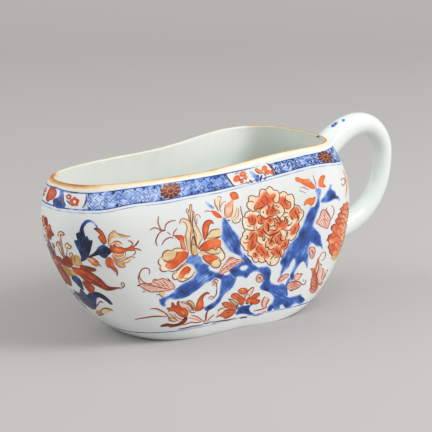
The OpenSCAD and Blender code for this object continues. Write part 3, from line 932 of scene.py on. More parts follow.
        ([(84, 269.6), (92, 273.6), (100, 279.6), (106.6, 286)], 0.8, 0.8),
        ([(81, 273.6), (89, 279), (97, 283.8), (105, 288.4)], 0.8, 0.75),
        ([(87, 268), (91.6, 269.4), (94.6, 270.4)], 0.7, 0.8),
        ([(86, 276), (93, 281), (100, 285.4)], 0.6, 0.7),
        ([(85.4, 284.4), (88, 288), (91.6, 291.6)], 0.7, 0.75),
        ([(57, 258.6), (61, 261.4), (66, 264.6)], 0.8, 0.85),
        ([(66, 257.4), (68.4, 261), (71.6, 265.4)], 0.8, 0.85),
        ([(60.6, 267), (64.6, 273), (68.6, 280)], 0.8, 0.85), ([(46.2, 218), (46.6, 224)], 0.7, 0.8),
        ([(99, 230.6), (101.8, 234.6), (103.6, 240)], 0.6, 0.7),
        ([(108.4, 259.6), (109.6, 264), (112.6, 268)], 0.6, 0.75),
        ([(96.8, 306.6), (98.4, 303.6), (100.2, 301.4), (103.4, 302.8)], 1.2, 0.75),
        ([(113.4, 310.6), (110, 309), (106, 308.2), (102.6, 308.8), (101, 310.6), (101.6, 313),
          (104, 314.4)], 1.1, 0.75),
        ([(98, 314.8), (101, 315), (104.6, 313.6)], 0.9, 0.75),
        ([(52, 242.6), (53.6, 245), (54.6, 248)], 1.2, 0.6),
    ],
}

lilySpray = {
    "blue": [
        ([(190, 255.2), (193.6, 254.4), (197, 254.6), (200, 255.8), (202, 258.4), (202.8, 261),
          (205.4, 263.2), (209, 265.2), (209, 268), (210.4, 269.8), (213.4, 271.2), (217, 272),
          (221, 273.2), (224.6, 275), (224, 279), (220, 278.4), (216, 278.6), (211.4, 280.8), (207, 283),
          (203, 285.8), (199, 288.8), (195, 291.8), (191, 294.6), (187, 296.8), (182, 298.6), (177, 299.6),
          (173, 299.4), (170, 299), (167.2, 300.6), (165.4, 302.8), (166.2, 306.2), (163.4, 306.6),
          (160, 304), (159.4, 299.8), (163, 297), (167.6, 295.4), (171.2, 293.4), (174, 291.6),
          (175.4, 289), (178.4, 286.8), (182, 284), (185.6, 281.8), (189.2, 280.4), (192.8, 277.6),
          (195.2, 274), (195.8, 271), (194.8, 268.4), (192.4, 265.4), (189, 264), (185.2, 263.6),
          (185, 260.8), (187.2, 257.6)], 0.5, [(186, 293, 9, 0.3), (197, 288, 7, 0.15), (198, 268, 4, 0.2),
          (163, 303, 4, 0.35), (210, 273, 4, 0.15), (186, 283, 4, -0.1), (195, 258, 4, -0.15),
          (207, 277, 2.4, -0.5), (172, 296, 5, 0.15), (221, 276, 4, 0.4)]),
    ],
    "blueLines": [
        ([(214, 275.4), (219, 276.4), (224, 277.4), (229, 276)], 4.4, 0.66),
        ([(239, 250.5), (242, 255), (246, 259), (251, 263)], 5.2, 0.62),
    ],
    "gold": [
        ([(179.5, 223.6), (180.5, 220.2), (182.6, 218.6), (186, 219.4), (189, 221), (190.6, 224),
          (191, 229), (190.6, 234), (190.2, 240), (190.2, 246), (190.6, 250), (188.4, 250.4), (187, 246),
          (186, 240), (185.6, 234), (187, 229), (186.6, 225), (184, 222), (181.5, 222)], 0.3,
          [(188, 242, 6, 0.2)]),
        ([(194, 226), (196, 224), (198, 228), (200, 232), (201.8, 236), (201.8, 239), (199.6, 243),
          (198, 247.4), (196.5, 245), (195.5, 240), (194.5, 235), (193.5, 230)], 0.28,
          [(199, 240, 4, 0.15)]),
        ([(190, 206), (190.8, 204.4), (191.8, 206), (192, 212), (193.4, 213), (193.2, 220), (193, 228),
          (193, 236), (191.6, 236), (191, 228), (190, 220), (189.8, 212)], 0.3),
        ([(191.6, 250), (191.7, 244), (193, 238), (194.4, 241), (196.6, 248), (198, 252), (198, 255),
          (193.6, 255), (192, 253)], 0.55, [(194, 252, 3, 0.25)]),
        ([(207, 236), (209, 233), (211, 230.5), (214, 229.3), (219, 229.2), (220.6, 231), (220, 234),
          (220, 236.5), (216, 237.2), (211, 238), (207.5, 238.5)], 0.4),
        ([(205, 251), (208, 250.5), (211, 248.5), (214, 248.4), (216, 250.2), (217, 247.6), (219.5, 247),
          (221, 249.5), (220.5, 252.5), (217.5, 253.5), (212, 254.2), (208, 253)], 0.55),
        ([(199.4, 252), (203, 250.8), (206, 253), (202, 254.6)], 0.5),
        ([(210.6, 262), (212, 259.4), (215.4, 258.4), (218.8, 259.6), (220.5, 263), (219, 266.4),
          (215.6, 267.6), (212, 266.2)], 0.5),
        ([(162, 257), (163, 253.6), (166, 250.6), (170, 250.4), (175, 251), (176.6, 253), (175, 257),
          (171, 260.4), (167, 261.5), (163.5, 260)], 0.5, [(167, 256, 4, 0.15)]),
        ([(171.6, 250.4), (176, 248.6), (181, 248.4), (185, 249.4), (187.8, 251), (186, 252.4), (181, 252),
          (176.4, 252)], 0.3),
        ([(186, 277.6), (188, 274), (190.5, 271), (193, 269.6), (194.2, 272), (191.6, 275), (188.6, 277.8)],
          0.5),
        ([(177, 271), (180, 268.5), (184, 265.5), (187, 264.5), (190, 266.4), (193, 268.4), (194.5, 271),
          (193, 274.5), (190, 277.6), (186, 280), (182, 281.6), (178.5, 280), (176.5, 277.5), (175.4, 274)],
          0.08),
        ([(158.6, 262), (160, 258.6), (163, 260.6), (166, 262.4), (165, 266), (168, 269.4), (167, 271),
          (163.6, 271.2), (160.4, 269), (160.4, 266)], 0.05),
        ([(220.6, 252.5), (222.4, 252.6), (224.4, 254.8), (224.6, 257), (223, 259.8), (220.4, 260.4),
          (219, 258.6), (217.8, 256.4), (218, 253.8)], 0.03),
        ([(172.4, 275.6), (173.6, 273.2), (176.4, 272.2), (176, 275), (177, 277.8), (175.6, 279.4),
          (173.2, 278)], 0.03),
    ],
    "red": [
        ([(175, 235.4), (178, 234.9), (181, 234.9), (183, 235.7), (184, 238), (183.6, 241), (184.2, 244),
          (185.2, 247), (186, 250), (183, 250.2), (181.5, 247), (180.5, 243), (179, 240), (177, 237.6)],
          0.5, [(180, 237, 3, 0.15), (184, 246, 4, -0.2)]),
        ([(204.5, 240.5), (203.5, 236), (202.8, 231), (203, 226), (204.5, 222.5), (207, 220.5),
          (210, 220.2), (212, 221), (213.5, 223.5), (211, 223.5), (209.5, 224.6), (208.5, 227), (208, 231),
          (206.5, 235), (205.5, 239)], 0.58, [(206, 230, 3, -0.14)]),
        ([(199.5, 248.5), (202, 245.5), (205, 242.5), (207.5, 240), (211, 239), (216, 238.5), (220, 240),
          (221.2, 243), (220.6, 246), (218, 247), (214, 248), (210, 249.5), (206, 250.6), (202, 250.2)],
          0.5, [(217, 242, 5, -0.14), (204, 247, 4, 0.12)]),
        ([(202.5, 255.5), (206, 254.5), (210, 255), (214, 255), (217.5, 256.5), (217, 259), (213.5, 260),
          (211.5, 262), (210, 264.2), (207.5, 262.6), (205, 260.6), (203, 258)], 0.55),
        ([(176.5, 252), (180, 251.5), (184, 251), (187.6, 252.4), (188.2, 255), (186, 258.5),
          (183.5, 261.5), (180, 264.2), (176, 267.6), (172.5, 269.2), (168.5, 268.6), (165, 266),
          (166, 263.5), (170, 261.6), (174, 258), (176, 255)], 0.56, [(168, 266, 4, -0.22),
          (174, 263, 4, 0.1), (184, 255, 4, 0.06)]),
        ([(178, 277), (179, 274), (181, 270.5), (184, 267.2), (187, 266), (190, 267.5), (190.5, 270),
          (188, 272.5), (185, 275), (183, 278), (180, 279)], 0.56, [(180, 277, 3, -0.25)]),
    ],
    "lines": [
        ([(150, 230), (154, 227.8), (158, 228.5), (161.6, 229.6)], 1.2, 0.45),
        ([(158.6, 216), (158, 222), (159.4, 226.4), (161.6, 230)], 1.1, 0.45),
        ([(164.6, 230.4), (165.4, 226), (167.4, 223), (171, 221), (176, 220.4)], 1.2, 0.45),
        ([(162.4, 230.4), (158.6, 234), (156.6, 238), (155.8, 242), (157.4, 246)], 1.3, 0.5),
        ([(167, 231.8), (169, 233.2), (170.6, 234.8)], 0.8, 0.4),
        ([(159, 229), (162, 230.6), (165.6, 230)], 2.0, 0.5),
        ([(161.8, 245), (164, 241), (167, 238.6), (171, 237.2), (173.4, 238.4)], 1.2, 0.5),
        ([(173, 235.6), (174.4, 231.6), (177.2, 228.4)], 1.1, 0.5),
        ([(172.6, 235.2), (175.4, 236), (178, 235.6)], 1.2, 0.6),
        ([(175, 238), (177, 237.6), (178.6, 240)], 0.9, 0.6),
        ([(180.6, 243), (181.6, 247), (183.4, 250.2)], 0.9, 0.7),
        ([(184.4, 236), (183.8, 240), (184.6, 245), (186.4, 250)], 0.7, 0.5),
        ([(179.5, 223.8), (180.4, 220.2), (182.6, 218.5), (186.2, 219.3), (189, 221), (190.6, 224.4)], 0.9,
          0.48),
        ([(181.6, 222), (184.2, 222.2), (186.6, 225), (187, 229), (185.6, 234.4), (186, 240), (187, 246),
          (188.4, 250.6)], 0.8, 0.38),
        ([(190.6, 224), (191, 229), (190.5, 235), (190.2, 242), (190.8, 250), (192, 255)], 0.9, 0.53),
        ([(189.9, 212), (189.8, 206), (190.8, 204.4), (191.7, 206), (191.4, 211)], 0.9, 0.48),
        ([(190, 211), (190.4, 218), (191.4, 224), (192.6, 228)], 0.9, 0.53),
        ([(191.6, 210.6), (192.6, 214), (192.4, 222), (192.8, 229), (192.6, 234)], 1.0, 0.58),
        ([(186.6, 208.8), (186.2, 211), (187.4, 213), (188.6, 211.4), (187.6, 209), (186.6, 208.6)], 0.8,
          0.38),
        ([(187.6, 213), (188.6, 216), (189.2, 219), (190.4, 222)], 0.9, 0.43),
        ([(192.6, 210), (194, 212.8), (193.4, 217), (193, 221)], 0.8, 0.38),
        ([(200.6, 217.8), (199.2, 215.2), (197, 214.4), (195.4, 216), (194.9, 221), (196, 225),
          (198.4, 229), (200.4, 233.4), (202, 237), (202, 239.4)], 0.9, 0.43),
        ([(197.6, 218.4), (196.6, 221), (197, 224.6)], 0.7, 0.33),
        ([(201.8, 239), (199.6, 243), (198, 247.6), (199.6, 249.4)], 0.9, 0.65),
        ([(193.4, 229), (194.4, 235), (195.6, 240), (196.6, 245), (198.4, 249)], 0.9, 0.65),
        ([(191.4, 250), (191.5, 244), (192.2, 239), (193.2, 236), (194.2, 238.6), (195.2, 243.4),
          (196.6, 249.4)], 0.9, 0.7),
        ([(191.6, 244.4), (193.4, 244.2), (195.2, 244.8)], 0.9, 0.7),
        ([(194, 230), (196, 234), (197, 239)], 0.6, 0.45),
        ([(191.6, 250), (191.8, 253.4), (193.6, 255.4), (197, 254.8), (198.2, 252)], 0.8, 0.6),
        ([(204.4, 240.6), (203.4, 236), (202.7, 231), (203, 226), (204.6, 222.4), (207, 220.4), (210, 220),
          (212.2, 221), (213.8, 224)], 0.9, 0.7),
        ([(211, 223.4), (209.4, 224.8), (208.4, 228), (207.4, 233), (205.8, 239.4)], 0.8, 0.7),
        ([(205.6, 241), (202.6, 244), (199.8, 247), (199, 249.6)], 1.0, 0.7),
        ([(207, 236.4), (209, 233), (211.4, 230.4), (215, 229.2), (219.8, 229)], 1.0, 0.55),
        ([(215, 238), (217.6, 237.4), (220.8, 236.4)], 1.4, 0.9),
        ([(207.4, 238.6), (211, 238), (216, 237.6)], 0.7, 0.5),
        ([(205, 251), (208, 250.4), (211, 248.4), (213.6, 248.2), (215.6, 249.8), (217.2, 247.6),
          (219.6, 247), (221.2, 249.6)], 1.1, 0.65),
        ([(199.4, 250.6), (204, 250.8), (207, 252.8), (212, 254.3), (217.6, 253.6), (220.6, 252.4)], 0.9,
          0.65),
        ([(220.4, 246.6), (222.2, 250), (224, 253), (224.8, 256.4), (223, 259.6), (220.4, 260.6)], 1.1,
          0.6),
        ([(217.6, 256.6), (219.6, 259.6), (220.8, 263), (219.2, 266.6), (215.6, 267.8), (212, 266.4),
          (209.8, 264.4)], 1.1, 0.7),
        ([(217, 259.2), (213.4, 260.2), (211.4, 262.2), (210.8, 265)], 0.8, 0.6),
        ([(202.4, 256), (203.2, 258.4), (205.4, 261), (208, 263.2), (210, 264.6)], 0.9, 0.7),
        ([(160.6, 258), (162.2, 256.6), (163, 253.4), (166, 250.6), (170, 250.2)], 1.1, 0.7),
        ([(170, 250.2), (172.4, 250), (175.4, 248.3), (180, 248.1), (183.4, 249)], 0.9, 0.55),
        ([(163, 259.6), (166.6, 261.8), (169.6, 261), (171, 259.4)], 1.2, 0.75),
        ([(175.4, 257), (176.8, 253.4), (176.4, 251.8)], 0.8, 0.6),
        ([(159.4, 258.4), (158.3, 262), (159.6, 265), (161.4, 265)], 1.1, 0.65),
        ([(160.6, 266), (159.9, 268.6), (161.6, 270.8), (164.6, 271.5), (167.6, 270.6)], 1.2, 0.7),
        ([(168, 270), (170.4, 271.2), (174, 271.2), (177, 269.6), (180, 266.6), (184, 263.6), (187, 262)],
          1.0, 0.65),
        ([(172.4, 275), (173, 278), (175.4, 279.6), (177, 279)], 1.2, 0.65),
        ([(175.6, 272.6), (173.4, 273.6), (172.4, 275.6)], 0.9, 0.6),
        ([(176.4, 277.4), (178.4, 280), (182, 281.7), (186, 280.2), (190, 277.8), (193, 274.6),
          (194.6, 271)], 1.2, 0.75),
        ([(175.4, 274), (177, 271), (180.4, 268.2), (184, 265.2), (187, 264.2)], 0.8, 0.5),
        ([(187, 274.6), (189, 271.6), (191.4, 268.6)], 0.8, 0.75),
        ([(183.6, 277.4), (185.4, 278.6), (188.4, 277.6)], 0.7, 0.6),
        ([(188.4, 251), (188, 255), (186, 259)], 0.8, 0.6),
    ],
}

featherScroll = {
    "hatched": [
        ([(140, 285), (143, 283), (147, 283.5), (152, 283), (154, 281.3), (157, 279.8), (160, 279),
          (163, 278.6), (167, 280), (170, 281), (173, 284), (174.5, 287), (174, 289), (171, 289.5),
          (168, 290.5), (163, 291), (158, 291.5), (152, 291.8), (147, 290.5), (143, 288), (140.5, 286)], 28,
          1.5),
    ],
    "gold": [
        ([(160, 291), (164, 291), (164.5, 294), (162.5, 297), (159.5, 294.5)], 0.6),
    ],
    "lines": [
        ([(149, 274), (149.9, 271), (148.5, 268.7), (145.5, 268), (142.5, 269), (140.4, 271.5),
          (139.4, 274.5), (139.6, 277.5), (141.5, 280), (144.5, 282.5), (147.5, 283.6)], 1.2, 0.5),
        ([(140.3, 271.2), (138.8, 275), (138.5, 279), (139.5, 282.5), (141, 284.5)], 0.9, 0.5),
        ([(137.3, 285.7), (140.3, 284.8)], 1.5, 1),
        ([(143, 285.5), (148, 285), (154, 286), (160, 287.5), (166, 288.5), (171, 289.7)], 0.9, 0.6),
        ([(141.5, 284.5), (146, 283.2), (152, 284.5)], 0.9, 0.6),
        ([(140.5, 286), (143, 288.2), (147, 290.6), (152, 291.9), (158, 291.6), (165, 291)], 0.9, 0.5),
        ([(152.3, 281.3), (154.5, 279.3), (158.5, 280.5)], 0.9, 0.6),
        ([(160.3, 279.8), (163, 278.4), (166.7, 279.9)], 0.9, 0.6),
        ([(167.7, 278), (168.5, 279.5), (170.5, 280.5)], 1, 0.8),
        ([(170, 281), (173.2, 284), (174.6, 287), (173.8, 289.3)], 0.9, 0.45),
        ([(154, 282), (157.5, 284), (161, 287)], 0.7, 0.4),
        ([(158, 281), (161.5, 283.5), (165, 287.5)], 0.7, 0.4),
        ([(163, 280.5), (166, 284), (169, 288.5)], 0.7, 0.4), ([(143.5, 292.3), (144.5, 291)], 1.4, 0.8),
        ([(156.5, 295), (158.5, 294), (161, 296), (163, 297)], 0.9, 0.6),
        ([(159, 299.7), (160.2, 299)], 1, 0.7),
    ],
}

groundFlower = {
    "outlined": ("red", "gold"),
    "pink": [
        ([(168, 312), (172, 312.3), (175, 314.5), (178, 317.6), (182.5, 319.2), (181, 321), (177, 321),
          (174, 319.4), (171, 316.6)], 0.2),
        ([(181, 302.6), (185, 303.2), (189, 305.2), (191.5, 308.5), (191.2, 311.6), (188.6, 311),
          (186, 308.6), (182.6, 306)], 0.16),
    ],
    "gold": [
        ([(187, 301.4), (189.5, 300.4), (192, 301.4), (193.9, 304), (194.4, 307.5), (193.5, 310.5),
          (191.8, 307), (190, 304.6), (187.5, 303)], 0.75),
        ([(168.5, 318), (171, 317.6), (174, 318.2), (176.6, 320), (174.6, 321.3), (171.2, 321), (169, 320)],
          0.5),
    ],
    "red": [
        ([(166.5, 308.5), (169, 307.8), (171, 307.4), (171.8, 305.5), (171.5, 303.5), (172.6, 302.4),
          (174, 304), (175.5, 305.8), (177, 306), (176.9, 303.5), (177.5, 301.8), (178.6, 301),
          (179.1, 303), (179.8, 305.4), (181.5, 307.2), (184.5, 308.4), (187, 310), (188, 312.5),
          (187.5, 315), (185.5, 317), (182.5, 317), (179.5, 315.5), (177, 313.5), (175, 311.5),
          (172.5, 311), (170, 310.6), (168, 311.4), (169.3, 309.8)], 0.68, [(183.5, 312.5, 2.6, -0.38),
          (174, 307, 3, 0.12)]),
        ([(209.5, 293.6), (207.5, 292.1), (205.5, 292.6), (203, 294.1), (200.5, 296.4), (198.5, 299.4),
          (197, 303), (196, 306.5), (195.3, 309.6), (197, 310.9), (200, 309.8), (202.2, 308), (203.1, 305),
          (203, 302), (202.6, 299.5), (203.4, 296.8), (205.6, 294.4), (208, 293.6)], 0.62,
          [(200, 303, 2.5, -0.1)]),
        ([(160.5, 326), (163.5, 324.5), (167.5, 323.6), (171, 324.3), (175, 324.2), (179, 323),
          (182, 320.8), (184.5, 318), (186.6, 317), (187, 319), (185, 322), (181.5, 324.4), (177, 325.8),
          (173, 326.4), (170.5, 327), (168, 325.8), (164, 326.1)], 0.85),
    ],
    "redLines": [
        ([(150, 308.7), (155.5, 308.6), (158.5, 309.3), (161.5, 311), (164, 312), (166, 314), (169, 317)],
          1.4, 0.85),
        ([(135, 319.5), (139, 318.5), (143, 318), (147, 317.3), (152, 316.6), (158, 316.2), (167.5, 316.6)],
          1.2, 0.9),
        ([(191, 315.3), (194, 315.7), (197.5, 317), (200.5, 319), (203.8, 321.6)], 1.2, 0.8),
        ([(188, 317.6), (192, 318.2), (197, 319.6), (201.5, 321.6)], 0.9, 0.55),
        ([(182.5, 325), (185.5, 324), (188.5, 323), (192, 322), (196.5, 322.5), (201, 321.8)], 1.1, 0.8),
        ([(204.3, 322), (205.8, 319), (206.1, 315), (206.9, 312.5), (208.5, 310)], 1.7, 0.85),
        ([(206.6, 322), (209, 319), (211, 317), (213, 315.4), (214.5, 314.3)], 1, 0.8),
        ([(197.6, 310.9), (201, 309.6), (203, 308), (205.5, 306.5)], 1.2, 0.95),
    ],
    "lines": [
        ([(178, 329), (182, 328.5), (186, 327.8), (190, 326.8), (194, 326), (198, 325.5), (203, 324.4)],
          1.1, 0.8),
        ([(203, 323.2), (206, 323.4), (209.6, 322.4)], 1, 0.85),
        ([(179.5, 301.3), (183, 302.8), (186.5, 303.8), (189.5, 305.6), (191.3, 308), (191.6, 311)], 0.8,
          0.65),
        ([(181.5, 301.2), (185, 301.6), (188.5, 302.8), (191.5, 305.5), (193.2, 308.5), (193.2, 311.4)],
          0.7, 0.55),
        ([(185.5, 306.3), (188, 307.6), (189.8, 309.8), (190.4, 312)], 0.7, 0.6),
        ([(189, 310.5), (190.6, 312.4), (193, 312.6), (196, 311.6)], 0.8, 0.7),
        ([(166, 313), (168, 315.5), (169.3, 318), (171.5, 320.8), (174.5, 321.4)], 0.8, 0.65),
        ([(169.5, 313.6), (172, 315.4), (174.5, 317.6), (176.5, 319.5), (178.4, 321)], 0.7, 0.6),
        ([(174, 313.3), (175.8, 316), (178.5, 318), (182, 319.3), (184.6, 319)], 0.8, 0.6),
        ([(178, 309), (182, 310), (185, 312.5), (186, 315), (184.5, 316.6)], 0.7, 0.8),
        ([(179.6, 312), (182, 314.6), (184.6, 315.6)], 0.7, 0.75),
        ([(208.3, 299), (209.5, 297), (212, 296), (213.5, 297.5), (211.5, 299), (209.8, 298.5)], 0.8, 0.5),
    ],
}

budAndLeaf = {
    "blue": [
        ([(222.5, 218), (224, 217), (226, 218.5), (228, 221.5), (230.5, 225.5), (233, 229.5), (236, 233),
          (238.5, 236), (239.8, 240), (240.5, 244.5), (241, 248.5), (242.5, 252), (244.5, 255.5),
          (246.5, 258), (243.5, 258), (240, 256.5), (236.5, 254.5), (232.5, 253), (229.5, 251),
          (227, 248.5), (225, 246), (223.5, 243), (221.8, 239.5), (221, 236), (221.8, 232), (221.5, 228),
          (221.8, 223)], 0.5, [(229, 237, 5, 0.25), (239, 242, 4, 0.3), (237, 252, 5, 0.2),
          (223, 222, 4, 0.1), (226, 247, 5, -0.15)]),
        ([(205.5, 201), (206, 204), (208.5, 207), (211.5, 209), (214, 209.5), (214.5, 207.5), (212, 205.5),
          (210.5, 204), (208, 202)], 0.3, [(211, 206, 2, 0.3)]),
    ],
    "gold": [
        ([(215, 200), (217, 198), (220, 199), (221.5, 202), (220, 205), (219.5, 209), (218, 209.5),
          (216.5, 206), (215, 203)], 0.2),
        ([(233, 204), (236, 206), (238.5, 209), (239.5, 214), (238.5, 219), (235, 222), (232, 220),
          (231.5, 216), (233, 211)], 0.1),
    ],
    "red": [
        ([(229.5, 194), (231.5, 192.8), (234, 192.3), (236.5, 193.5), (238, 196), (238.5, 198.5),
          (236, 199.5), (233.5, 200), (231.5, 199), (230.5, 196.5)], 0.48),
        ([(232, 200), (233.5, 201), (233, 204), (232.5, 208), (232.5, 212), (231, 216), (228, 218),
          (225, 216.5), (224.5, 213), (225, 209), (225.5, 205), (227.5, 203), (230, 201.5)], 0.22,
          [(229, 210, 3, -0.15)]),
        ([(210.5, 211), (213, 210.5), (216, 211.5), (218.5, 213), (220.5, 215), (222, 217.5), (219, 218),
          (216, 217), (213.5, 214.5), (212, 212.5)], 0.55),
    ],
    "lines": [
        ([(214.5, 199), (215, 204), (217, 208.5), (218.5, 211.5)], 0.8, 0.45),
        ([(220.5, 198.5), (219.5, 203), (219.5, 208), (221, 212)], 0.8, 0.45),
        ([(226, 201), (223, 202.5), (221, 205), (220.5, 208)], 0.7, 0.4),
        ([(217, 197.5), (219, 196.5), (222.5, 198)], 0.7, 0.35),
        ([(236, 207), (236, 211), (235, 215), (232.5, 219)], 0.7, 0.4),
        ([(238, 208), (238.5, 213), (237, 217), (234, 220.5)], 0.7, 0.4),
        ([(232, 219.5), (233, 222.3), (236, 223), (239.5, 221.5), (240.5, 218)], 0.8, 0.45),
        ([(240.5, 206), (241, 210), (242, 214), (243, 217.5)], 0.9, 0.5),
        ([(204.5, 212), (207, 210.8), (210.5, 211.3)], 0.8, 0.5),
        ([(227.5, 220.3), (230, 220.5)], 1.2, 0.95),
        ([(229.6, 194.2), (231.4, 192.6), (234, 192.1), (236.8, 193.4), (238.6, 198)], 0.7, 0.55),
        ([(225.4, 205), (224.6, 210), (225, 216)], 0.7, 0.5),
        ([(232.6, 204), (232.4, 211), (230.4, 217)], 0.7, 0.5),
    ],
}

peonyEdge = [
    (259.5, 193.5), (260, 190.5), (262, 189), (264.5, 189.5), (266.5, 189), (269, 186.5), (272, 188),
    (273.5, 190), (277, 190.5), (279.5, 193.5), (281, 192.5), (283, 191.5), (286, 192.5), (288, 195),
    (290, 194), (292.5, 194.8), (294, 199), (294.2, 204), (296.5, 205.2), (299, 206), (300.5, 209),
    (303, 211), (303.5, 214.5), (301.5, 219), (299, 222), (298.5, 225), (299, 228), (296.5, 233),
    (295.5, 236.5), (291.5, 240.3), (288.5, 239.5), (288.3, 243), (286, 248.5), (284, 249.5), (284, 253),
    (282, 256.5), (279.5, 257.5), (278.5, 261), (275.5, 264.5), (272, 265.6), (268.5, 264.5),
    (265.7, 260.5), (264, 262), (261, 262.6), (258.8, 261), (256, 262.4), (253, 260.5), (251.3, 256.5),
    (248, 255.3), (247.8, 251), (244.5, 249.8), (243.3, 246.8), (240.6, 243.5), (240.3, 239.5),
    (242.3, 236.3), (242.8, 233), (245.2, 230.6), (243.4, 227), (242.3, 222), (242.6, 217.5),
    (244.4, 216.5), (245.3, 213.3), (248, 211.3), (250, 210.6), (247.3, 207), (246.8, 203.5),
    (248.5, 201.5), (248.3, 198), (250, 195.8), (253, 195.8), (256.5, 196.8), (258.8, 196.2),
]

